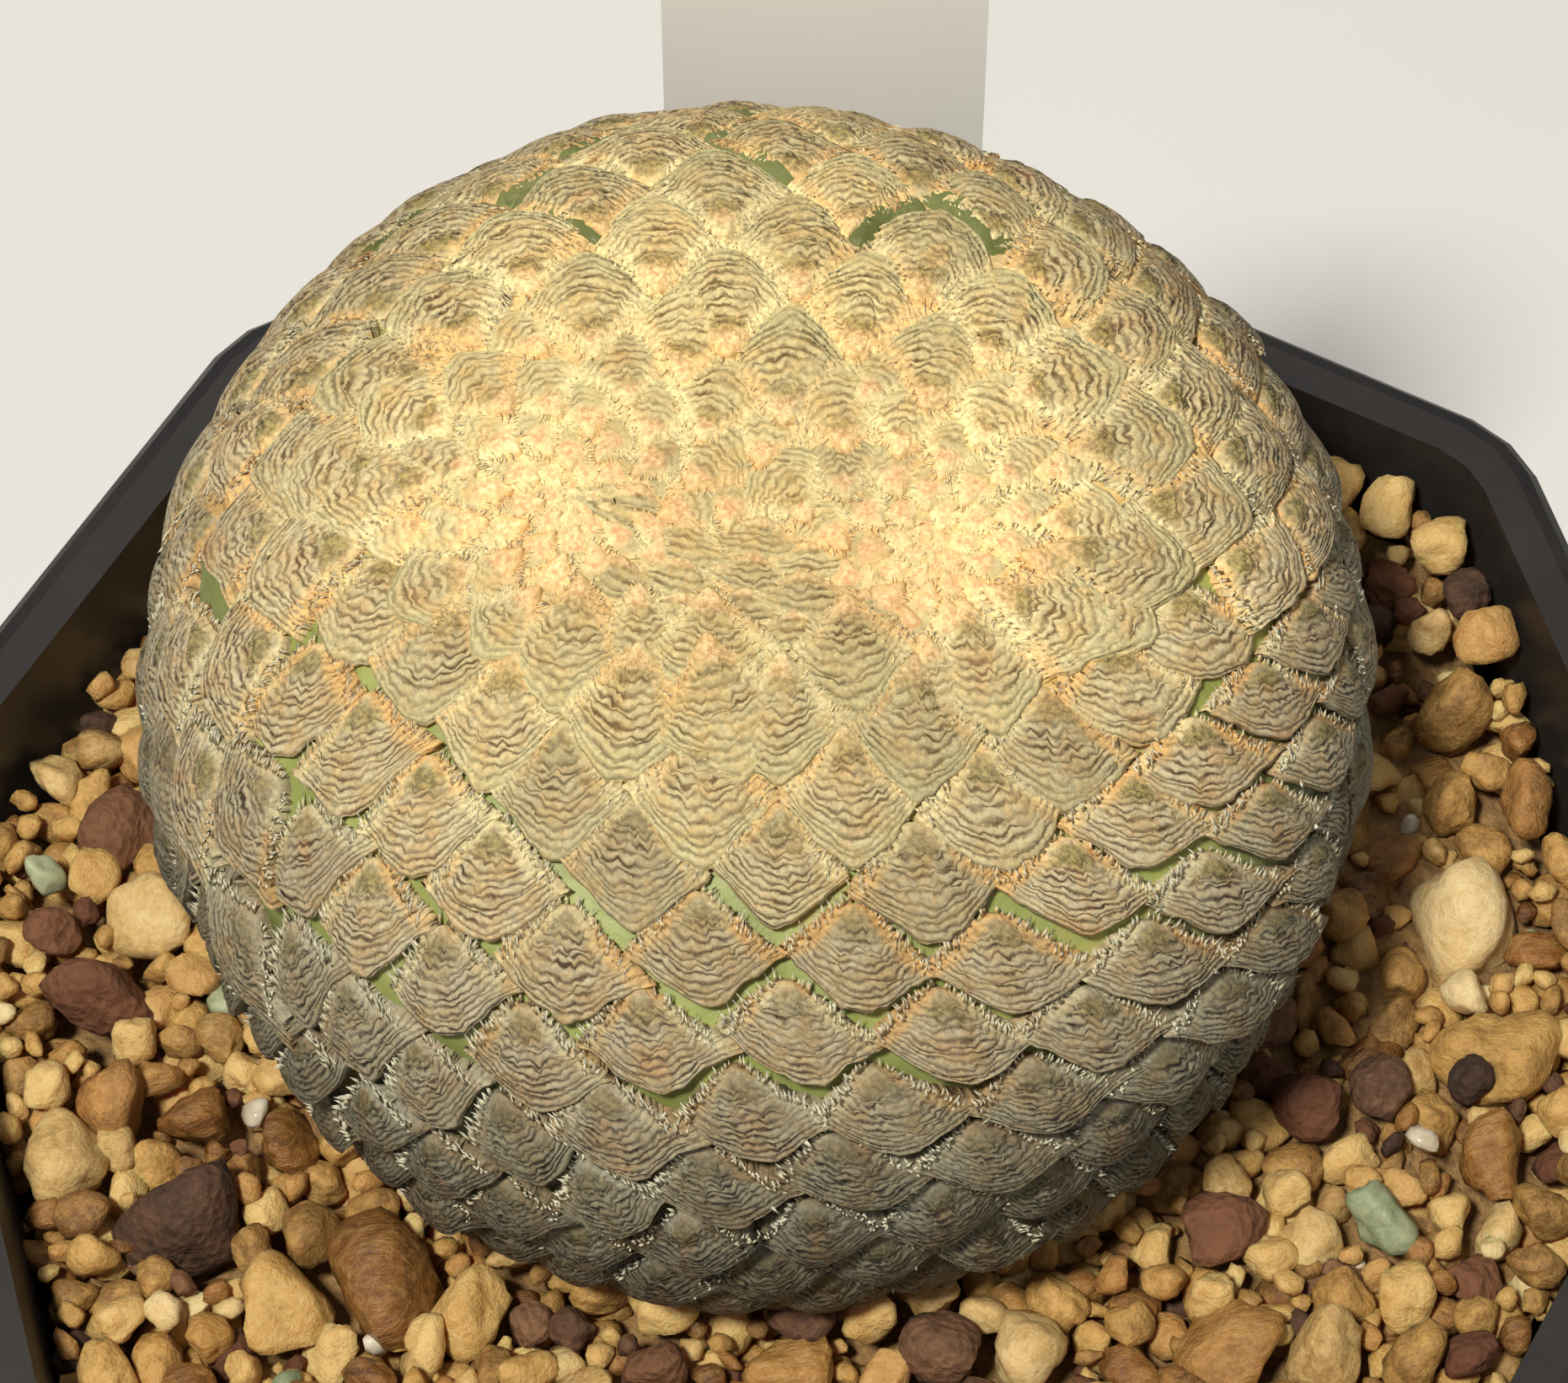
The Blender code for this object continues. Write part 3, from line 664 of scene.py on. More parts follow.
def loose_flakes(cells, draw):
    """Thin pale flakes that peel from the outward edges of old scales, four points to a flake."""
    some = picked_cells(cells, (cells["old"] > FLAKE_WEAR) & (np.real(cells["centre"]) > FLAKES_FROM))
    count = len(some["centre"])
    side = draw.choice([-1.0, 1.0], (count, FLAKES_PER_SCALE), p=FLAKE_SIDES)
    shape_across = side * draw.uniform(0.6, 1.0, side.shape)
    spread = spreader(count, 1)
    shape = [spread(part) for part in outline_shape(some)]
    level = draw.uniform(0.9, 1.0, side.shape)
    root = ridge_line(level, shape_across, shape)
    size = spread(some["size"])
    length = draw.uniform(*FLAKE_LENGTH, side.shape) * draw.uniform(0.3, 1.0, side.shape) / size
    way = np.exp(1j * (shape_across * 1.3 + draw.uniform(-0.4, 0.4, side.shape)))
    half = draw.uniform(0.06, 0.16, side.shape) / size
    base = face_relief(some, level, shape_across, spread)
    rise = draw.uniform(-0.2, 0.25, side.shape)
    tint = draw.uniform(0.0, 1, side.shape)[..., None]
    corners = ((root + 1j * half * way, base), (root - 1j * half * way, base),
               (root + 0.4 * length * way, base - 0.1), (root + length * way, base + rise))
    return spikes(some, corners, spread, {
        "level": 1.0, "age": 1.0, "hair": 1.0, "young": 0.0, "tint": tint, "stain": 0.0, "old": 0.4})


def scale_age(place):
    """Age of a scale from 0 at the growing points to 1, reached sooner on the front."""
    return smooth_step(*AGE_SPAN, front_reach(place))


def scale_wear(place):
    """How grey and worn a scale is, from 0 halfway down the plant to 1 near the gravel."""
    return smooth_step(*WEAR_SPAN, front_reach(place))


def front_reach(place):
    """Distance from the crown's middle on the lattice in mm, counted longer on the front."""
    radius = np.abs(place)
    return radius - FRONT_LEAD * np.imag(place) / np.maximum(radius, 1.0)


def outline_shape(cells):
    """The five numbers of each scale's outline, between those for its age, wear and facing."""
    age = smooth_step(0.4, 1.0, cells["age"])
    corner = np.abs(np.sin(2 * cells["facing"]))
    shape = []
    for young, old, oldest, square in zip(YOUNG_OUTLINE, OLD_OUTLINE, OLDEST_OUTLINE, SQUARE_OUTLINE):
        pointed = blend((blend((young, old), age), oldest), cells["old"])
        shape.append(blend((square, pointed), corner))
    return shape


def ridge_line(level, across, shape):
    """Place on a scale's face, outward plus 1j times sideways, on the ridge line of a level from 0 to 1."""
    above, below, wide, power_above, power_below = shape
    inner = np.clip(level, 0.0, 1.0)
    reach = inner ** END_LEAD
    end = -above * (1 - reach ** power_above) ** (1 / power_above)
    middle = -above + inner * (above + below)
    power = power_below + RIDGE_ROUND * (1 - inner)
    bow = np.maximum(1 - np.abs(across) ** power, 1e-9) ** (1 / power)
    bow = (np.maximum(bow, 1e-3) ** -BLUNT_POWER + BLUNT ** -BLUNT_POWER) ** (-1 / BLUNT_POWER)
    place = end + (middle - end) * bow + 1j * wide * reach * across
    return -above + (place + above) * np.maximum(level, 1.0)


def cell_place(cells, chord, spread):
    """Place on the lattice of a point of a scale's face, with the narrow gaps on each side of its cell."""
    chord = chord * np.exp(1j * spread(cells["facing"]))
    u, v = np.real(chord), np.imag(chord)
    u = u * (1 - np.where(u > 0, spread(cells["gap_right"]), spread(cells["gap_left"])))
    v = v * (1 - np.where(v > 0, spread(cells["gap_below"]), spread(cells["gap_above"])))
    if "flat" in cells:
        return squeeze(spread(cells["flat"]) + u * ACROSS + v * DOWN)
    return spread(cells["centre"]) + u * spread(cells["step_u"]) + v * spread(cells["step_v"])


def hat_weights(places, knots):
    """Shares of evenly spaced knots at places from 0 to 1, for blending random values between them."""
    return np.maximum(1 - np.abs(places[:, None] * (knots - 1) - np.arange(knots)), 0.0)


def face_relief(cells, inner, across, spread):
    """Height of a scale's face over the skin, without its ridges, in mm."""
    bulk = scale_bulk(cells, spread)
    age, old, youth = spread(cells["age"]), spread(cells["old"]), spread(cells["youth"])
    arch = 1 - np.abs(across) ** ARCH_POWER
    thin = blend(SCALE_THIN, age) + OLD_THIN * old
    thick = blend(SCALE_THICK, age) + OLD_THICK * old
    face = thin + (thick - thin) * inner ** 0.85 * (0.45 + 0.55 * arch)
    face = face + SCALE_KEEL * arch * np.sin(math.pi * np.clip(inner, 0, 1) ** 0.8) ** 0.8
    nose = np.exp(-(inner / blend(NOSE_REACH, youth ** 2)) ** 2) * np.maximum(1 - np.abs(across) ** 3, 0)
    face = face + NOSE_RISE * (1 + youth) * (1 - smooth_step(0.2, 0.7, age)) * nose
    for sign, (middle, width) in zip((1, -1), EYE_RINGS):
        face = face + sign * EYE_RISE * np.exp(-((inner - middle) / width) ** 2) * arch
    lift = spread(cells["lift"]) * inner * (1.0 + spread(cells["lean"]) * 0.5 * across)
    fuzz = SKIN_FUZZ * (1 - smooth_step(*FELT_AGES, age)) * (1 - 0.4 * bulk)
    return (face * bulk + lift) * (1 - spread(cells["flatness"])) + fuzz


def scale_youth(bulk):
    """1 for the smallest scales, 0 for full-grown ones."""
    return 1 - smooth_step(0.3, 0.85, bulk)


def scale_bulk(cells, spread):
    """Size of a scale as a share of a full-grown one."""
    return np.clip(spread(cells["size"]) / SCALE_PITCH, LEAST_BULK, 1.0)


class Plates:
    """Plates of some scales, all with the same ridges, columns of points and rows for each ridge."""

    def __init__(self, cells, ridges, columns, rows_each, draw):
        self.cells, self.ridges, self.draw = cells, ridges, draw
        self.count = len(cells["centre"])
        self.spread = spreader(self.count, 2)
        self.bulk = scale_bulk(cells, self.spread)
        rows = rows_each * ridges + 1
        skirt_phase = ridges + 0.5 * np.arange(1, 1 + len(SKIRT))
        down = (np.concatenate([[TIP], np.linspace(TIP, 1.0, rows), [level for level, _ in SKIRT]]),
                np.concatenate([[-1.0], np.ones(rows), [drop for _, drop in SKIRT]]),
                np.concatenate([[0.0], np.arange(rows) / rows_each, skirt_phase]))
        self.level, self.drop, self.phase = [line.reshape(1, -1, 1) for line in down]
        self.span = np.clip(down[0], 0.0, 1.0)
        share = np.linspace(0.0, 1.0, columns)
        across = COLUMN_SPACING[0] * (2 * share - 1) - COLUMN_SPACING[1] * np.cos(math.pi * share)
        self.share = np.concatenate([[0.0], share, [1.0]])
        self.across = np.concatenate([[-1.0], across, [1.0]]).reshape(1, 1, -1)
        self.rim = np.zeros(len(self.share))
        self.rim[[0, -1]] = 1.0
        self.crest = 0.5 - 0.5 * np.cos(2 * math.pi * self.phase)

    def rough(self, *knots):
        """Random values from -1 to 1 for each scale, blended between knots down and across its face."""
        values = self.draw.uniform(-1, 1, (self.count, *knots))
        weights = [hat_weights(*pair) for pair in zip((self.span, self.share), knots)]
        return np.einsum("rp,npq,cq->nrc", weights[0], values, weights[1])

    def levels(self):
        """Levels of the points, crinkled along the ridges and unevenly spaced, and the finest crinkles."""
        broad = self.rough(*BROAD_KNOTS)
        fine = self.rough(max(self.ridges // 2, 3), FINE_KNOTS)
        finest = self.rough(self.ridges + 2, FINEST_KNOTS)
        wave = WAVE_BROAD * broad + WAVE_FINE * fine + WAVE_FINEST * finest
        wave = wave / self.ridges * self.bulk ** 0.5
        knots = self.draw.uniform(-RIDGE_JITTER, RIDGE_JITTER, (self.count, self.ridges + 2)) / self.ridges
        line = np.arange(self.ridges + 2)
        uneven = np.stack([np.interp(self.phase.ravel(), line, values) for values in knots])[:, :, None]
        calm = smooth_step(*CALM_SPAN, self.span) * (1 - CALM_END * self.span ** 4)
        return self.level + (wave * (1 - self.rim) + uneven) * calm.reshape(1, -1, 1), finest

    def places(self, level, shape):
        """Places on the lattice, with teeth where ridges end on the crown's side, and a tail at the right."""
        chord = ridge_line(level, self.across, shape)
        tooth_row = self.draw.uniform(*TOOTH_SPREAD, (self.count, len(self.span), 1))
        at_end = smooth_step(*TOOTH_SPAN, np.abs(self.across)) * (1 - 0.75 * self.rim)
        tooth_length = TOOTH_LENGTH * blend(TOOTH_AGES, self.spread(self.cells["age"])) / SCALE_PITCH
        toothed = smooth_step(0.02, 0.12, self.level) * (self.level <= 1.0)
        out = (chord + 0.25) / np.maximum(np.abs(chord + 0.25), 1e-6)
        chord = chord + out * tooth_length * (self.crest * tooth_row) * at_end * toothed
        inner = np.clip(level, 0.0, 1.0)
        tail = TAIL * self.spread(self.cells["tail"]) * np.maximum(-self.across, 0) ** 6
        tail = tail * smooth_step(0.45, 1.0, inner)
        edge_noise = self.rough(*EDGE_KNOTS) * smooth_step(0.8, 1.0, inner)
        chord = chord - 1j * tail + EDGE_WAVE * edge_noise * (1 - self.rim)
        return cell_place(self.cells, chord, self.spread)

    def relief(self, inner, finest):
        """Height of the points over the skin in mm, down to it at the walls, and the ridges' strength."""
        arch = 1 - np.abs(self.across) ** ARCH_POWER
        strength = smooth_step(0.08, 0.3, inner + 0.12 * (1 - arch)) * (0.85 + 0.15 * arch)
        strength = strength * (1 - 0.85 * self.spread(self.cells["youth"]) ** 2)
        patchy = 0.75 + 0.45 * self.rough(self.ridges // 2 + 2, PATCHY_KNOTS)
        face = face_relief(self.cells, inner, self.across, self.spread)
        face = face + RIDGE_HEIGHT * patchy * (self.crest - 0.5) * strength * self.bulk ** 0.3
        face = face + FINEST_HEIGHT * finest * self.bulk
        sunk = -SCALE_SUNK * self.bulk ** 0.5
        relief = np.where(self.drop >= 0, sunk + (face - sunk) * self.drop, sunk)
        return relief * (1 - self.rim) + sunk * self.rim, strength * patchy

    def build(self):
        """Points and attributes of the plates."""
        level, finest = self.levels()
        inner = np.clip(level, 0.0, 1.0)
        shape = [self.spread(part) for part in outline_shape(self.cells)]
        place = self.places(level, shape)
        relief, strength = self.relief(inner, finest)
        points = on_body(place, relief)
        across = np.abs(self.across)
        fields = {
            "phase": self.phase, "level": inner, "ridge": strength, "across": across, "hair": 0.0,
            "edge": (1 - across) * inner ** END_LEAD * shape[2],
            "wall_shade": (1 - np.clip(self.drop, 0, 1)) * (1 - self.rim)}
        for name, source in OWN_FIELDS.items():
            fields[name] = self.spread(self.cells[source])
        return points, filled(fields, points.shape[:3])


def fringe_hairs(cells, number, draw):
    """A number of pointed hairs along each crown-side edge of every scale in cells, four points to a hair."""
    count = len(cells["centre"])
    hairs = (count, 2 * number)
    side = np.where(np.arange(2 * number) % 2, 1.0, -1.0)[None, :]
    spread = spreader(count, 1)
    shape = [spread(part) for part in outline_shape(cells)]
    age, size = spread(cells["age"]), spread(cells["size"])
    along = (np.arange(2 * number) // 2 + draw.uniform(0.0, 1.0, hairs)) / number
    level = 0.015 + 0.95 * along
    depth = draw.uniform(0.0, 1.0, hairs) ** 1.5 * blend(HAIR_DEPTH, age)
    root_across = side * (0.985 - depth)
    length = draw.uniform(0.35, 1.0, hairs)
    length = np.minimum(blend(HAIR_LENGTH, age), HAIR_LONGEST * size) * length / size
    half = draw.uniform(0.6, 1.2, hairs) * np.minimum(blend(HAIR_WIDTH, age), HAIR_WIDEST * size) / size
    root = ridge_line(level, root_across, shape)
    ahead = ridge_line(np.minimum(level + 0.02, 1.0), root_across, shape) - root
    ahead = ahead / np.maximum(np.abs(ahead), 1e-6)
    way = -side * 1j * ahead
    way = np.where(np.real(way * np.conj(side * 1j - 0.3)) < 0, -way, way)
    way = way * np.exp(1j * draw.uniform(-HAIR_FAN, HAIR_FAN, way.shape)) - HAIR_UPWARD * ahead
    way = way / np.maximum(np.abs(way), 1e-6)
    base = face_relief(cells, level, root_across, spread)
    rise = length * size * draw.uniform(-0.15, 0.08 + 0.15 * age + 0.3 * spread(cells["old"]), way.shape)
    corners = ((root + half * ahead, base + 0.02), (root - half * ahead, base + 0.02),
               (root + 0.25 * length * way, base - 0.12), (root + length * way, base + rise))
    tip = np.array([0.0, 0.0, 0.3, 1.0])
    own = {name: spread(cells[source])[..., None] for name, source in OWN_FIELDS.items()}
    return spikes(cells, corners, spread, {
        **own, "level": level[..., None], "hair": 0.3 + 0.7 * tip,
        "tint": draw.uniform(0, 1, way.shape)[..., None]})


def dress_cells(cells, draw):
    """Adds the features that vary from scale to scale."""
    measure_cells(cells)
    centre, count = cells["centre"], len(cells["centre"])
    radius = np.abs(centre)
    cells["age"] = scale_age(centre)
    cells["old"] = scale_wear(centre)
    for side in GAP_SIDES:
        width = GAP_WIDTHS[0] + GAP_WIDTHS[1] * cells["age"] ** 2 + GAP_WIDTHS[2] * cells["old"]
        cells[side] = width * draw.uniform(0.2, 1.8, count)
    if "column" in cells:
        for side, grooves in OPEN_GROOVES.items():
            for column, row, width in grooves:
                cells[side][(cells["column"] == column) & (cells["row"] == row)] = width
    cells["youth"] = scale_youth(cells["size"] / SCALE_PITCH) * (SEAM_YOUTH if "seam" in cells else 1.0)
    front_share = np.maximum(-np.imag(centre) / np.maximum(radius, 1.0), 0.0)
    right_share = np.maximum(np.real(centre) / np.maximum(radius, 1.0), 0.0)
    outer = smooth_step(*OUTER_SPAN, radius)
    # Tint: a random tone, plus painted shade on the front and at the crown's middle and painted light at the
    # sides and on the right
    cells["tint"] = draw.uniform(0, 1, count) - FRONT_PAINTED_SHADE * front_share * outer
    cells["tint"] += SIDE_PAINTED_LIGHT * (1 - front_share) * outer * (1 - cells["old"]) - CROWN_PAINTED_SHADE * (1 - outer)
    cells["tint"] += RIGHT_PAINTED_LIGHT * right_share * smooth_step(*RIGHT_SPAN, radius)
    cells["stain"] = draw.uniform(0, 1, count)
    cells["lift"] = LIFTS[0] * smooth_step(*LIFT_SPAN, radius) + LIFTS[1] * cells["old"]
    cells["lift"] *= draw.uniform(0.0, 1.0, count) ** 2
    cells["lean"] = draw.uniform(*LEANS, count)
    cells["tail"] = smooth_step(*TAIL_SPAN, radius) * draw.uniform(0.2, 1.3, count)


def sector_of(centre):
    """Number of the piece that a scale belongs to: 0 for the crown, then front, right, back and left."""
    angle = np.angle(centre * 1j)
    side = 1 + np.floor((angle / (math.pi / 2) + 0.5) % 4)
    return np.where(np.abs(centre) < CROWN_REACH, 0, side)


def picked_cells(cells, picked):
    """Only the picked scales, with all their features."""
    return {key: value[picked] for key, value in cells.items()}


class Sheaf:
    """Points, faces and attributes of many like parts, gathered for one mesh."""

    def __init__(self):
        self.points, self.faces, self.values, self.base = [], [], {}, 0

    def add(self, points, faces, values):
        """Parts as arrays whose first axis is the part, all with the same faces."""
        parts = len(points)
        each = points.reshape(parts, -1, 3).shape[1]
        starts = self.base + each * np.arange(parts)
        self.faces.append((faces[None] + starts[:, None, None]).reshape(-1, faces.shape[1]))
        self.points.append(points.reshape(-1, 3))
        for key, value in values.items():
            self.values.setdefault(key, []).append(np.asarray(value).ravel())
        self.base += parts * each

    def build(self, name, matrix, material, smooth=True):
        joined = {key: np.concatenate(value) for key, value in self.values.items()}
        points = moved(np.concatenate(self.points), matrix)
        return array_object(name, points, np.concatenate(self.faces), joined, material, smooth)


def build_bare_flanks(grid, matrix, material):
    """The green flanks that show in the widest gaps, as smooth plates just under the scales beside them,
    darkened as painted shade in the grooves.
    """
    some = picked_cells(grid, np.max([grid[side] for side in GAP_SIDES], axis=0) > BARE_FROM)
    count = len(some["centre"])
    for side in GAP_SIDES:
        some[side] = np.zeros(count)
    some["flatness"] = np.full(count, BARE_FLAT)
    points, _ = Plates(some, *BARE_DETAIL, np.random.default_rng(SCALE_SEED)).build()
    flanks = Sheaf()
    flanks.add(points, grid_faces(*points.shape[1:3]),
               {"age": np.ones(points.shape[:3]), "old": np.full(points.shape[:3], BARE_PAINTED_SHADE)})
    return flanks.build("bare_flanks", matrix, material)


def build_scales(skin):
    """Every scale as a fine plate of ridges with a fringe of hairs, in pieces for each side of the plant."""
    draw = np.random.default_rng(SCALE_SEED)
    grid = grid_cells(draw)
    families = [grid, new_cells(grid, draw), seam_cells(draw)]
    families.append(patch_cells(families, draw))
    for cells in families:
        dress_cells(cells, draw)
    material = scale_material()
    matrix = plant_matrix()
    pieces = [build_bare_flanks(grid, matrix, skin)]
    hairs = Sheaf()
    for number, name in enumerate(SCALE_PIECES):
        plates = Sheaf()
        for cells in families:
            here = picked_cells(cells, sector_of(cells["centre"]) == number)
            if not len(here["centre"]):
                continue
            low = np.abs(here["centre"]) > LOW_REACH
            pitch = np.where(low, RIDGE_PITCH[1], RIDGE_PITCH[0])
            ridges = np.round(here["length"] * RIDGE_SHARE / pitch).clip(*RIDGES).astype(int)
            level = np.where(np.imag(here["centre"]) > BACK_FROM, 3, 0)
            level = np.where(low, 1, np.where(ridges <= SMALL_RIDGES, 2, level))
            for ridge_count, detail in sorted(set(zip(ridges, level))):
                some = picked_cells(here, (ridges == ridge_count) & (level == detail))
                columns, rows_each, hair_count = DETAIL[detail]
                block, values = Plates(some, ridge_count, columns, rows_each, draw).build()
                plates.add(block, grid_faces(*block.shape[1:3]), values)
                for points, faces, values in (fringe_hairs(some, hair_count, draw), loose_flakes(some, draw)):
                    if points.size:
                        hairs.add(points.reshape(-1, 4, 3), faces,
                                  {key: value.reshape(-1, 4) for key, value in values.items()})
        pieces.append(plates.build(name, matrix, material))
    pieces.append(hairs.build("scale_fringe", matrix, material, smooth=False))
    return pieces


def build_skin(material):
    """The green body under the scales, closed at its root, with pale felt at the crown."""
    r, z, arc = body_profile()
    picked = np.linspace(0, len(r) - 1, SKIN_RINGS).astype(int)[1:]
    reach = wrap_radius(r, arc)[picked][:, None]
    place = -1j * reach * np.exp(1j * np.linspace(0, 2 * math.pi, SKIN_SIDES + 1)[:-1])
    age, old = scale_age(place), scale_wear(place)
    points = on_body(place, SKIN_FELT * (1 - smooth_step(*FELT_AGES, age)))
    form = bmesh.new()
    layers = [form.verts.layers.float.new(name) for name in ("age", "old")]
    rings = []
    for ring, *shades in zip(points, age, old):
        rings.append([form.verts.new(point) for point in ring])
        for layer, line in zip(layers, shades):
            for vertex, shade in zip(rings[-1], line):
                vertex[layer] = shade
    crown = form.verts.new((0, 0, z[0]))
    root = form.verts.new((0, 0, z[-1] - 1.0))
    for side in range(SKIN_SIDES):
        after = (side + 1) % SKIN_SIDES
        form.faces.new((crown, rings[0][side], rings[0][after]))
        form.faces.new((root, rings[-1][after], rings[-1][side]))
        for upper, lower in zip(rings, rings[1:]):
            form.faces.new((upper[side], lower[side], lower[after], upper[after]))
    bmesh.ops.recalc_face_normals(form, faces=form.faces)
    form.transform(plant_matrix())
    return form_object("plant_skin", form, material, smooth=True)


def gravel_level(x, y):
    """Height of the gravel's surface in mm at a place in the pot's axes."""
    right, back = world_to_front(x, y)
    heap = HEAP_RISE * smooth_step(*HEAP_SPAN, math.cos(HEAP_TURN) * right + math.sin(HEAP_TURN) * back)
    return POT_HEIGHT - GRAVEL_DROP + GRAVEL_SLOPE * right + heap


def octagon_reach(x, y):
    """Half width of the eight-sided outline that runs through a place."""
    return np.maximum(np.maximum(np.abs(x), np.abs(y)), (np.abs(x) + np.abs(y)) / math.sqrt(2))


def clear_of_plant(x, y, z, radius):
    """Whether a grain stays outside the plant and the label's slit."""
    local = moved(np.stack([x, y, z], -1) * MM, plant_matrix().inverted())
    r, height, arc = body_profile()
    lower = arc > arc[np.argmax(r)]
    body = np.interp(-local[..., 2], -height[lower], r[lower])
    outside = np.hypot(local[..., 0], local[..., 1]) > body + 0.7 * radius + GRAIN_PLANT_GAP
    right, back = world_to_front(x, y)
    beside = np.abs(right - LABEL_PLACE[0]) > LABEL_WIDTH / 2 + 0.6 * radius
    beside |= np.abs(back - LABEL_PLACE[1]) > LABEL_HALF_SLIT + 0.8 * radius
    return outside & beside


def settle(grains, radius, draw, tries):
    """Drop one grain where it comes to rest lowest, and return its centre, or None if it stands too high."""
    half = RIM_APOTHEM - LIP_WIDTH - 0.9 * radius - GRAIN_WALL_GAP
    x, y = [draw.uniform(-half, half, tries) for _ in range(2)]
    inside = octagon_reach(x, y) < half
    x, y = x[inside], y[inside]
    level = gravel_level(x, y)
    z = level - GRAVEL_DEPTH + 0.5 * radius
    if len(grains):
        placed = np.array(grains)
        gap = np.hypot(x[:, None] - placed[:, 0], y[:, None] - placed[:, 1])
        touch = GRAIN_TOUCH * (radius + placed[:, 3])
        over = np.sqrt(np.maximum(touch ** 2 - gap ** 2, 0.0))
        z = np.maximum(z, np.where(gap < touch, placed[:, 2] + over, -1e3).max(1))
    free = clear_of_plant(x, y, z, radius)
    if not free.any():
        return None
    x, y, z, level = x[free], y[free], z[free], level[free]
    best = np.argmin(z - level)
    if z[best] + 0.8 * radius > level[best] + GRAVEL_RISE:
        return None
    return x[best], y[best], z[best], radius


def gravel_grains(draw):
    """Centres, radii and kinds of all loose grains: chosen ones first, then settled ones, then fines."""
    grains, kinds = [], []
    for right, back, radius, kind in CHOSEN_GRAINS:
        x, y = front_to_world(right, back)
        z = gravel_level(x, y) + GRAVEL_RISE - 0.55 * radius - 0.3
        if clear_of_plant(x, y, z, radius):
            grains.append((x, y, z, radius))
            kinds.append(kind)
    names, weights = list(GRAIN_KINDS), np.array(list(GRAIN_KINDS.values()))
    for low, high, most, tries in GRAIN_SIZES:
        missed = 0
        for _ in range(most):
            radius = draw.uniform(low, high)
            spot = settle(grains, radius, draw, tries)
            if spot is None:
                missed += 1
                if missed > GRAIN_MISSES:
                    break
                continue
            grains.append(spot)
            kinds.append(names[draw.choice(len(names), p=weights / weights.sum())])
    return np.array(grains), np.array(kinds)


def grain_shapes(draw, subdivisions):
    """Faces, and a set of rounded stone shapes, each cut by its own planes and about 1 across its half."""
    form = bmesh.new()
    bmesh.ops.create_icosphere(form, subdivisions=subdivisions, radius=1.0)
    directions = np.array([vertex.co[:] for vertex in form.verts])
    faces = np.array([[vertex.index for vertex in face.verts] for face in form.faces])
    form.free()
    shapes = []
    for _ in range(GRAIN_SHAPES):
        count = draw.integers(*GRAIN_PLANES)
        planes = draw.normal(size=(count, 3))
        planes /= np.linalg.norm(planes, axis=1)[:, None]
        far = draw.uniform(*PLANE_REACH, count)
        sharp = draw.uniform(*PLANE_SHARP)
        lean = np.maximum(directions @ planes.T / far, 0.0) ** sharp
        reach = (lean.sum(1) + GRAIN_ROUND ** sharp) ** (-1 / sharp)
        for waves in GRAIN_LUMPS:
            way = draw.normal(size=3)
            way *= waves * draw.uniform(0.8, 1.2) / np.linalg.norm(way)
            reach = reach + LUMP_HEIGHT / waves * np.sin(directions @ way + draw.uniform(0, 2 * math.pi))
        shapes.append(directions * reach[:, None])
    return faces, np.array(shapes)


def random_turns(draw, count):
    """Rotation matrices from random unit quaternions."""
    quaternion = draw.normal(size=(count, 4))
    w, x, y, z = (quaternion / np.linalg.norm(quaternion, axis=1)[:, None]).T
    return np.stack([
        np.stack([1 - 2 * (y * y + z * z), 2 * (x * y - z * w), 2 * (x * z + y * w)], -1),
        np.stack([2 * (x * y + z * w), 1 - 2 * (x * x + z * z), 2 * (y * z - x * w)], -1),
        np.stack([2 * (x * z - y * w), 2 * (y * z + x * w), 1 - 2 * (x * x + y * y)], -1)], 1)


def build_gravel():
    """Loose grains in a piece for each kind of stone, over a bed of soil."""
    draw = np.random.default_rng(GRAVEL_SEED)
    grains, kinds = gravel_grains(draw)
    count = len(grains)
    level = gravel_level(grains[:, 0], grains[:, 1])
    seen = (grains[:, 2] + grains[:, 3] > level + GRAIN_SEEN_FROM) & (grains[:, 3] > GRAIN_FINE_FROM)
    shapes_by_detail = {True: grain_shapes(draw, 3), False: grain_shapes(draw, 2)}
    turns = random_turns(draw, count)
    stretch = np.stack([draw.uniform(*limits, count) for limits in GRAIN_STRETCH], -1)
    pick = draw.integers(0, GRAIN_SHAPES, count)
    tone, hue = [draw.uniform(0, 1, count) for _ in range(2)]
    in_metres = np.diag([MM, MM, MM, 1.0])
    pieces = []
    for kind in GRAIN_KINDS:
        heap = Sheaf()
        for index in np.nonzero(kinds == kind)[0]:
            faces, shapes = shapes_by_detail[bool(seen[index])]
            shape = (shapes[pick[index]] * stretch[index]) @ turns[index].T
            shape[:, 2] *= GRAIN_FLAT
            points = grains[index, :3] + shape * grains[index, 3] * GRAIN_SWELL
            heap.add(points[None], faces, filled({"tone": tone[index], "hue": hue[index]}, len(points)))
        pieces.append(heap.build("gravel_" + kind, in_metres, STONE_MATERIALS[kind]()))
    return [*pieces, build_soil()]


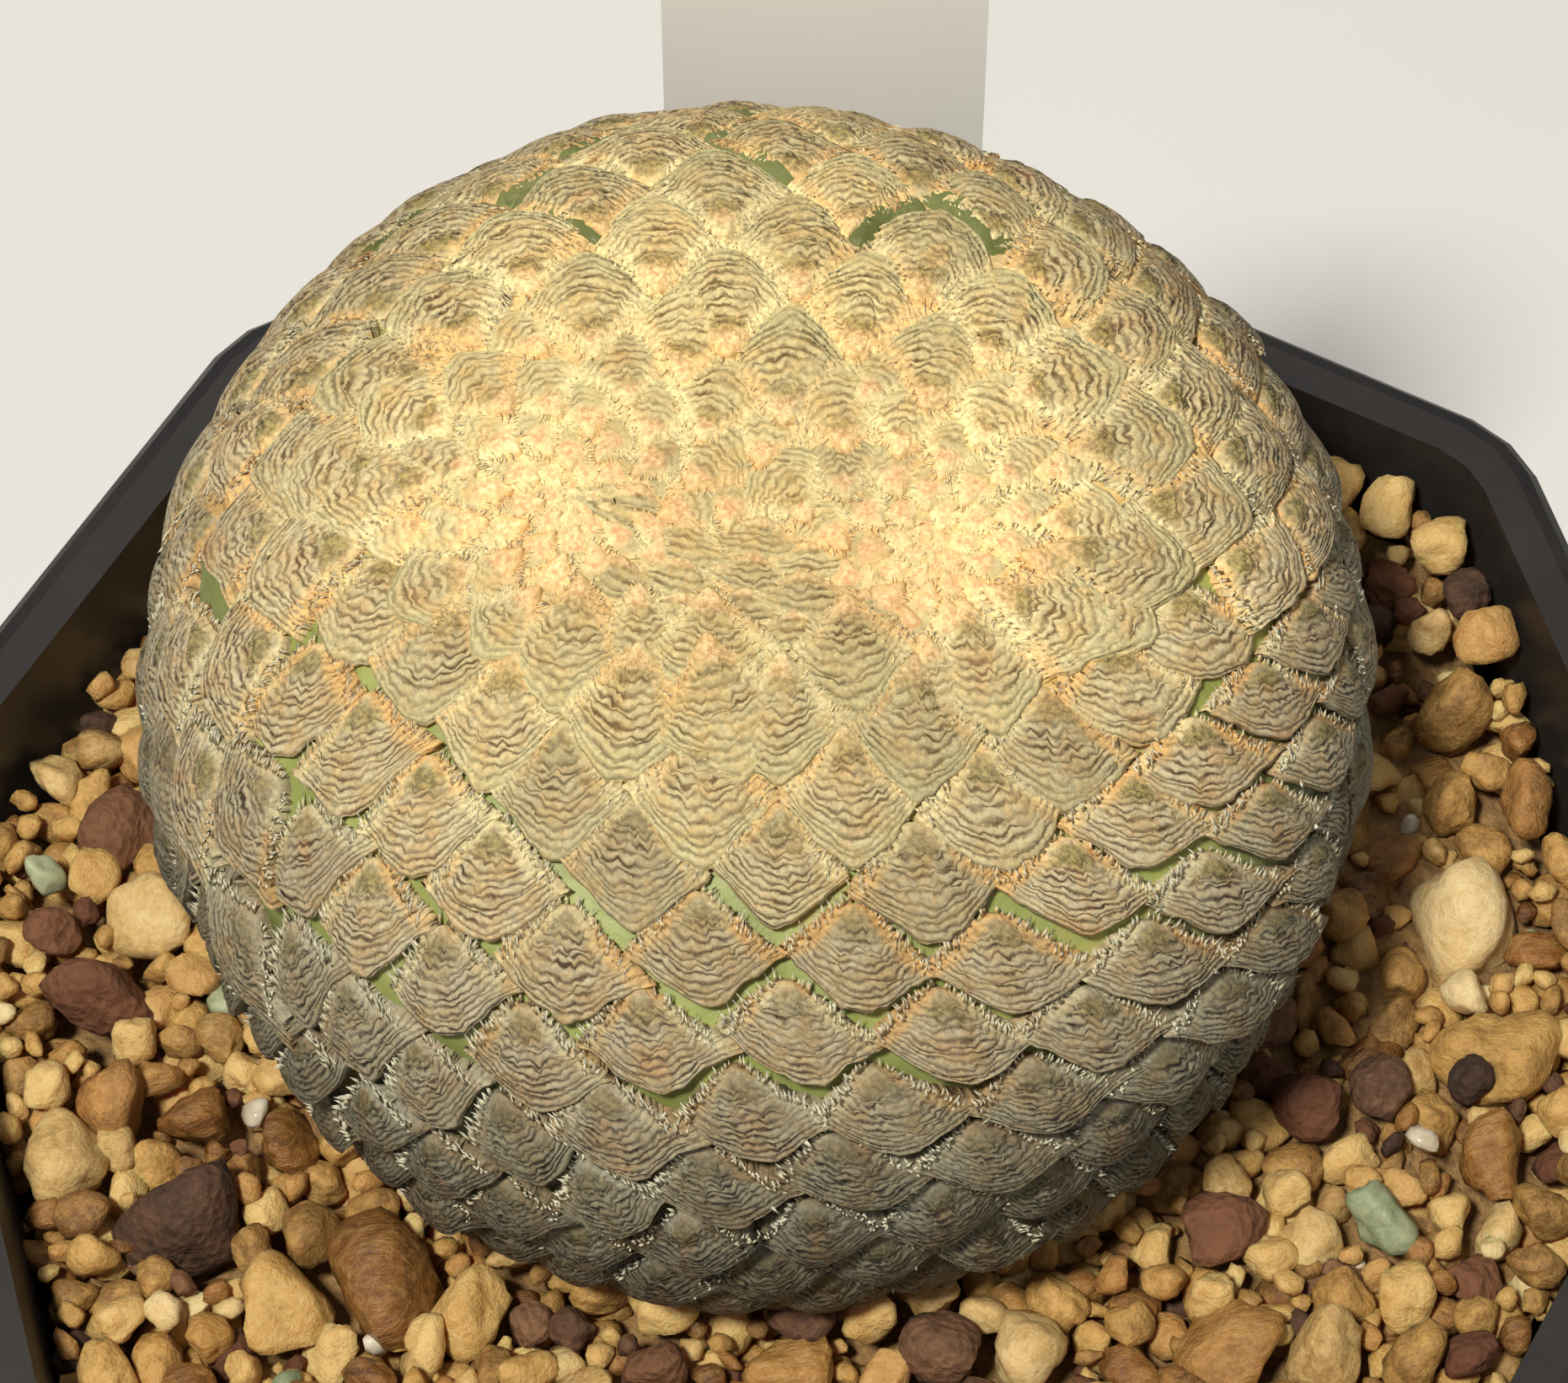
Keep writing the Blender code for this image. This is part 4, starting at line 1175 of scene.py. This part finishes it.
def build_soil():
    """The soil that fills the pot up to the grains."""
    form = bmesh.new()
    low, high = FLOOR + SOIL_GAP, POT_HEIGHT - GRAVEL_DROP - GRAVEL_DEPTH
    slope = (RIM_APOTHEM - LIP_WIDTH + WALL - BASE_APOTHEM) / POT_HEIGHT
    start = BASE_APOTHEM - WALL - SOIL_GAP
    to_corner = 1 / math.cos(math.pi / 8)
    place = Matrix.Translation((0, 0, (low + high) / 2)) @ Matrix.Rotation(math.pi / 8, 4, "Z")
    bmesh.ops.create_cone(form, cap_ends=True, segments=8, radius1=start * to_corner,
                          radius2=(start + slope * (high - low)) * to_corner, depth=high - low, matrix=place)
    for vertex in form.verts:
        if vertex.co.z > high - 0.1:
            vertex.co.z += gravel_level(vertex.co.x, vertex.co.y) - POT_HEIGHT + GRAVEL_DROP
        vertex.co *= MM
    return form_object("soil", form, soil_material())


def stone_coat(made, dark, middle, light):
    """A stone's mottled colour, by its own tone, broad stains and fine grit, and the grit for its bumps."""
    grit = made.noise(5200.0, 3.0, 0.7)
    share = made.times(made.noise(700.0, 4.0, 0.6), 0.9, made.times(made.attribute("tone"), 0.75, -0.42))
    share = made.times(grit, 0.5, made.math("SUBTRACT", share, 0.4))
    share = made.times(made.noise(2100.0, 3.0, 0.6), 0.55, share)
    return made.ramp(share, (0.1, dark), (0.5, middle), (0.92, light)), grit


def ochre_material():
    made = Nodes("gravel_ochre")
    warm, grit = stone_coat(made, (134, 98, 50), (202, 158, 88), (230, 194, 126))
    red, _ = stone_coat(made, (116, 80, 42), (184, 134, 72), (214, 170, 104))
    colour = made.mix(made.between(made.attribute("hue"), 0.6, 0.9), warm, red)
    normal = made.bump(grit, 0.7, 0.0001, made.bump(made.noise(1600.0, 5.0, 0.65), 0.9, 0.0003))
    return made.finish(base_color=colour, normal=normal, roughness=0.55, **STONE_GLOW)


def cream_material():
    made = Nodes("gravel_cream")
    colour, grit = stone_coat(made, (156, 118, 62), (212, 178, 116), (234, 208, 156))
    normal = made.bump(grit, 0.6, 0.0001, made.bump(made.noise(1500.0, 5.0, 0.6), 0.8, 0.00025))
    return made.finish(base_color=colour, normal=normal, roughness=0.6, **STONE_GLOW)


def honey_material():
    """Banded brown stone, a little glassy, with pale streaks along its bands."""
    made = Nodes("gravel_honey")
    colour, grit = stone_coat(made, (84, 52, 22), (146, 98, 46), (190, 144, 78))
    banded = made.node("ShaderNodeMapping")
    made.put(banded.inputs["Vector"], made.place)
    made.put(banded.inputs["Rotation"], (0.6, 0.4, 0.9))
    made.put(banded.inputs["Scale"], (0.3, 1.0, 1.0))
    grain = made.noise(1900.0, 5.0, 0.7, banded.outputs["Vector"])
    colour = made.mix(made.between(grain, 0.42, 0.66, 0.0, 0.35), colour, (204, 158, 94))
    normal = made.bump(grit, 0.35, 0.0001, made.bump(grain, 1.0, 0.00035))
    return made.finish(base_color=colour, normal=normal, roughness=0.32, subsurface_weight=0.25,
                       subsurface_scale=0.002)


def lava_material():
    made = Nodes("gravel_lava")
    colour, grit = stone_coat(made, (50, 34, 24), (92, 62, 42), (136, 98, 66))
    colour = made.mix(made.between(made.attribute("hue"), 0.55, 0.8, 0.0, 0.6), colour, (110, 62, 36))
    normal = made.bump(grit, 0.7, 0.0001, made.bump(made.pits(2200.0), 0.8, 0.0002))
    return made.finish(base_color=colour, normal=normal, roughness=0.82)


def green_material():
    made = Nodes("gravel_green")
    colour, grit = stone_coat(made, (96, 104, 76), (138, 148, 112), (178, 182, 144))
    return made.finish(base_color=colour, normal=made.bump(grit, 0.5, 0.00008), roughness=0.55)


def quartz_material():
    made = Nodes("gravel_quartz")
    colour = made.ramp(made.noise(900.0), (0.35, (196, 180, 150)), (0.7, (238, 230, 210)))
    return made.finish(base_color=colour, roughness=0.12, coat_weight=0.6)


STONE_MATERIALS = {"ochre": ochre_material, "cream": cream_material, "honey": honey_material,
                   "lava": lava_material, "green": green_material, "quartz": quartz_material}


def soil_material():
    made = Nodes("soil")
    colour = made.ramp(made.noise(900.0, 4.0), (0.3, (104, 78, 46)), (0.7, (170, 132, 82)))
    normal = made.bump(made.noise(1500.0, 4.0), 1.0, 0.0005)
    return made.finish(base_color=colour, normal=normal, roughness=0.95)


class Nodes:
    """Short calls for building one material's node tree, in object coordinates in metres.

    Colours are links, or sRGB from 0 to 255.
    """

    def __init__(self, name):
        self.material = bpy.data.materials.new(name)
        self.material.use_nodes = True
        self.tree = self.material.node_tree
        self.place = self.node("ShaderNodeTexCoord").outputs["Object"]

    def node(self, kind, **settings):
        made = self.tree.nodes.new(kind)
        for key, value in settings.items():
            setattr(made, key, value)
        return made

    def put(self, socket, value):
        if hasattr(value, "links"):
            self.tree.links.new(value, socket)
        else:
            socket.default_value = value

    def attribute(self, name):
        return self.node("ShaderNodeAttribute", attribute_name=name).outputs["Fac"]

    def math(self, operation, *values, clamp=False):
        made = self.node("ShaderNodeMath", operation=operation, use_clamp=clamp)
        for socket, value in zip(made.inputs, values):
            self.put(socket, value)
        return made.outputs[0]

    def times(self, first, second, plus=0.0, clamp=False):
        """first times second, plus a third value."""
        return self.math("MULTIPLY_ADD", first, second, plus, clamp=clamp)

    def between(self, value, low, high, start=0.0, stop=1.0):
        """value from low to high, eased, as start to stop."""
        made = self.node("ShaderNodeMapRange", interpolation_type="SMOOTHSTEP")
        for name, part in (("Value", value), ("From Min", low), ("From Max", high),
                           ("To Min", start), ("To Max", stop)):
            self.put(made.inputs[name], part)
        return made.outputs["Result"]

    def noise(self, scale, detail=3.0, rough=0.55, vector=None):
        made = self.node("ShaderNodeTexNoise")
        for name, part in (("Scale", scale), ("Detail", detail), ("Roughness", rough),
                           ("Vector", vector or self.place)):
            self.put(made.inputs[name], part)
        return made.outputs["Fac"]

    def pits(self, scale):
        """Distance to the nearest of scattered points."""
        made = self.node("ShaderNodeTexVoronoi")
        self.put(made.inputs["Scale"], scale)
        self.put(made.inputs["Vector"], self.place)
        return made.outputs["Distance"]

    def mix(self, share, first, second, blend_type="MIX"):
        made = self.node("ShaderNodeMix", data_type="RGBA", blend_type=blend_type)
        self.put(made.inputs["Factor"], share)
        for name, colour in (("A", first), ("B", second)):
            self.put(made.inputs[name], colour if hasattr(colour, "links") else linear(*colour))
        return made.outputs["Result"]

    def ramp(self, value, *stops):
        made = self.node("ShaderNodeValToRGB")
        self.put(made.inputs["Fac"], value)
        points = made.color_ramp.elements
        while len(points) < len(stops):
            points.new(0.5)
        for point, (place, colour) in zip(points, stops):
            point.position = place
            point.color = linear(*colour)
        return made.outputs["Color"]

    def bump(self, height, strength, distance, normal=None):
        made = self.node("ShaderNodeBump")
        for name, part in (("Height", height), ("Strength", strength), ("Distance", distance)):
            self.put(made.inputs[name], part)
        if normal:
            self.put(made.inputs["Normal"], normal)
        return made.outputs["Normal"]

    def finish(self, **sockets):
        """Fills the shader's sockets, named in lower case with underscores, and gives the material."""
        shader = self.tree.nodes["Principled BSDF"]
        for name, value in sockets.items():
            self.put(shader.inputs[name.replace("_", " ").title()], value)
        return self.material


def linear(*colour):
    """Linear colour with full alpha of an sRGB colour given in 0 to 255."""
    parts = [part / 255 / 12.92 if part <= 10 else ((part / 255 + 0.055) / 1.055) ** 2.4 for part in colour]
    return (*parts, 1.0)


def scale_material():
    """Pale ridges and dark valleys, the valleys partly painted shade, a dull eye at the tip, rust along the
    keel, a pale fringe, walls painted in shade and each scale's tint with painted light and shade.
    """
    made = Nodes("plant_scales")
    phase, level, ridge, edge, wall_shade, age, tint, stain, across, hair, young, old = [
        made.attribute(name) for name in SCALE_FIELDS]
    wander = made.noise(1700.0, 3.0, 0.65)
    streak = made.noise(800.0, 4.0, 0.7)
    fine = made.noise(4200.0, 3.0, 0.65)

    def aged(name):
        """A named colour at the scale's age and wear."""
        first, grown, *worn = SCALE_COLOURS[name]
        colour = made.mix(age, first, grown)
        return made.mix(old, colour, *worn) if worn else colour

    # Ridges, drawn with a wandering phase; the dark valleys are partly the grooves' own brown and partly
    # painted shade
    turned = made.math("SUBTRACT", made.times(wander, 0.9, phase), 0.65)
    turned = made.times(fine, 0.4, turned)
    wave = made.math("COSINE", made.times(turned, 2 * math.pi))
    valley = made.math("POWER", made.times(wave, 0.5, 0.5), 2.2)
    crest = made.mix(made.between(streak, 0.4, 0.65, 0.0, 0.75), aged("crest"), aged("warm_crest"))
    depth = made.times(ridge, made.between(streak, 0.3, 0.7, 1.15, 0.75))
    colour = made.mix(made.times(valley, depth, clamp=True), crest, aged("valley"))

    # Rust along the keel, darker in the valleys as painted shade
    rust = made.between(made.noise(620.0, 4.0, 0.7), 0.42, 0.64, 0.0, 0.8)
    rust = made.times(rust, made.between(across, 0.6, 0.05))
    rust = made.times(rust, made.between(stain, 0.2, 0.9, 0.1, 0.65))
    colour = made.mix(rust, colour, made.mix(valley, *RUST_COLOURS))

    # The dull eye below the tip
    eye_edge = made.times(wander, 0.16, made.math("SUBTRACT", level, 0.08))
    eye = made.times(made.between(eye_edge, 0.06, 0.16), made.between(eye_edge, 0.4, 0.26))
    eye = made.times(eye, made.between(across, 0.9, 0.4))
    eye = made.times(eye, made.times(valley, -0.5, 1.0))
    eye = made.times(eye, made.between(tint, 0.0, 1.0, 0.45, 0.9))
    colour = made.mix(eye, colour, made.mix(made.between(fine, 0.4, 0.6), aged("eye"), aged("eye_light")))

    # The orange tip of young scales, and a paler lower part
    nose = made.between(made.times(made.times(young, young), -0.45, level), 0.3, 0.12)
    nose = made.times(nose, made.between(age, 0.6, 0.1))
    colour = made.mix(nose, colour, made.mix(made.between(fine, 0.35, 0.65), *NOSE_COLOURS))
    under = made.times(made.between(level, 0.66, 0.95, 0.0, 0.32), made.between(age, 0.9, 0.3))
    colour = made.mix(under, colour, UNDER_COLOUR)

    # Fringe along the edges on the crown's side, walls under the edges in painted shade, and hairs
    band = made.times(made.math("SUBTRACT", wander, 0.5), 0.14, edge)
    width = made.times(young, 0.12, made.times(age, -0.06, 0.2))
    fringe = made.between(made.math("DIVIDE", band, width), 1.0, 0.3)
    fringe = made.times(fringe, made.times(valley, -0.25, 0.92), clamp=True)
    patchy = made.between(made.noise(260.0, 4.0, 0.6), 0.4, 0.6, 0.1, 0.85)
    fringe_colour = made.mix(patchy, aged("pale_fringe"), aged("orange_fringe"))
    colour = made.mix(fringe, colour, fringe_colour)
    colour = made.mix(made.times(wall_shade, 0.75), colour, aged("wall_shade"))
    hair_colour = made.mix(made.between(hair, 0.3, 0.9), fringe_colour, aged("hair_tip"))
    colour = made.mix(made.between(hair, 0.05, 0.2), colour, hair_colour)

    # Specks, each scale's tint with its painted light and shade, and worn scales near the gravel darkened by
    # up to half, all but their hair tips, partly weathering and partly painted shade
    speck = made.between(fine, 0.3, 0.7, made.times(young, 0.2, 0.7), 1.14)
    shade = made.times(speck, made.times(tint, 0.22, 0.87))
    shade = made.times(shade, made.times(old, made.between(hair, 0.2, 1.0, -0.5, 0.02), 1.0))
    grey = made.node("ShaderNodeCombineColor")
    for socket in grey.inputs:
        made.put(socket, shade)
    colour = made.mix(1.0, colour, grey.outputs[0], "MULTIPLY")
    normal = made.bump(made.times(made.math("SUBTRACT", 1.0, valley), ridge), 0.6, 0.00008)
    return made.finish(base_color=colour, normal=made.bump(fine, 0.7, 0.00006, normal), roughness=0.8)


def skin_material():
    """Green skin, with pale felt at the crown, and dark on the oldest part and in the grooves as painted
    shade between the scales.
    """
    made = Nodes("plant_skin")
    green = made.ramp(made.noise(220.0, 3.0, 0.6), (0.3, (124, 132, 62)), (0.55, (158, 166, 94)),
                      (0.75, (182, 172, 104)))
    felt = made.ramp(made.noise(2600.0, 4.0, 0.7), (0.3, (214, 172, 108)), (0.7, (248, 220, 158)))
    # Painted shade: worn skin and the flanks in the grooves darken towards near black, for the shade between
    # the scales
    green = made.mix(made.between(made.attribute("old"), 0.2, 0.9, 0.0, 0.9), green, (44, 38, 27))
    colour = made.mix(made.between(made.attribute("age"), 0.35, 0.6), felt, green)
    normal = made.bump(made.noise(2600.0, 3.0, 0.6), 0.6, 0.00008)
    return made.finish(base_color=colour, normal=normal, roughness=0.5, subsurface_weight=0.1,
                       subsurface_scale=0.002)


def pot_material():
    made = Nodes("pot_plastic")
    dust = made.noise(90.0, 5.0, 0.65)
    colour = made.mix(made.between(dust, 0.45, 0.75, 0.0, 0.35), (34, 31, 30), (62, 56, 50))
    normal = made.bump(made.noise(5200.0, 2.0, 0.5), 0.25, 0.00003)
    return made.finish(base_color=colour, normal=normal, roughness=made.between(dust, 0.3, 0.7, 0.38, 0.6))


def label_material():
    made = Nodes("label_plastic")
    cloud = made.noise(60.0, 4.0, 0.6)
    colour = made.mix(made.between(cloud, 0.4, 0.75, 0.0, 0.4), (248, 247, 243), (240, 236, 228))
    normal = made.bump(made.noise(4200.0, 2.0, 0.5), 0.15, 0.00002)
    return made.finish(base_color=colour, normal=normal, roughness=0.42)


def floor_material():
    made = Nodes("studio_floor")
    colour = made.mix(made.between(made.noise(6.0), 0.3, 0.7), (231.1, 228.5, 224.6), (236.1, 233.7, 229.8))
    return made.finish(base_color=colour, roughness=0.85)


def build_floor():
    form = bmesh.new()
    bmesh.ops.create_grid(form, x_segments=2, y_segments=2, size=FLOOR_REACH)
    floor = form_object("studio_floor", form, floor_material())


def aim(thing, place, target):
    """Put a camera or light at a place and point it at a target."""
    thing.location = place
    thing.rotation_mode = "QUATERNION"
    thing.rotation_quaternion = (Vector(target) - Vector(place)).to_track_quat("-Z", "Y")


def place_camera():
    data = bpy.data.cameras.new("photo_view")
    data.sensor_width = CAMERA_SENSOR
    data.lens = CAMERA_LENS
    data.clip_start = CAMERA_CLIP
    camera = add_object("photo_view", data)
    back, rise = math.cos(CAMERA_RISE), math.sin(CAMERA_RISE)
    look = Vector((-math.sin(FRONT_TURN) * back, math.cos(FRONT_TURN) * back, -rise))
    target = Vector(CAMERA_TARGET) * MM
    aim(camera, target - look * CAMERA_DISTANCE * MM, target)
    bpy.context.scene.camera = camera


def place_light(name, azimuth, elevation, distance, size, power, colour):
    """A round area light aimed at the plant. Azimuth 0 is the camera's side of the plant's front axes."""
    data = bpy.data.lights.new(name, "AREA")
    data.shape = "DISK"
    data.size = size
    data.energy = power
    data.color = colour
    turn, rise = math.radians(azimuth), math.radians(elevation)
    x, y = front_to_world(-math.sin(turn) * math.cos(rise), -math.cos(turn) * math.cos(rise))
    target = Vector((0, 0, POT_HEIGHT * MM))
    aim(add_object(name, data), target + distance * Vector((x, y, math.sin(rise))), target)


def place_lights():
    for name, setting in LIGHTS.items():
        place_light(name, *setting)
    bpy.context.scene.view_settings.view_transform = "Standard"
    world = bpy.data.worlds.new("studio")
    bpy.context.scene.world = world
    world.use_nodes = True
    background = world.node_tree.nodes["Background"]
    background.inputs["Color"].default_value = STUDIO_COLOUR
    background.inputs["Strength"].default_value = STUDIO_LIGHT


def main():
    place_camera()
    place_lights()
    build_floor()
    for node, material in (("pot", pot_material()), ("label", label_material())):
        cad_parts[node].data.materials.clear()
        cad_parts[node].data.materials.append(material)
    skin = skin_material()
    for piece in [build_skin(skin), *build_scales(skin)]:
        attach(piece, "root")
        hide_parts("plant")
    for piece in build_gravel():
        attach(piece, "root")
        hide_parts("gravel")


main()
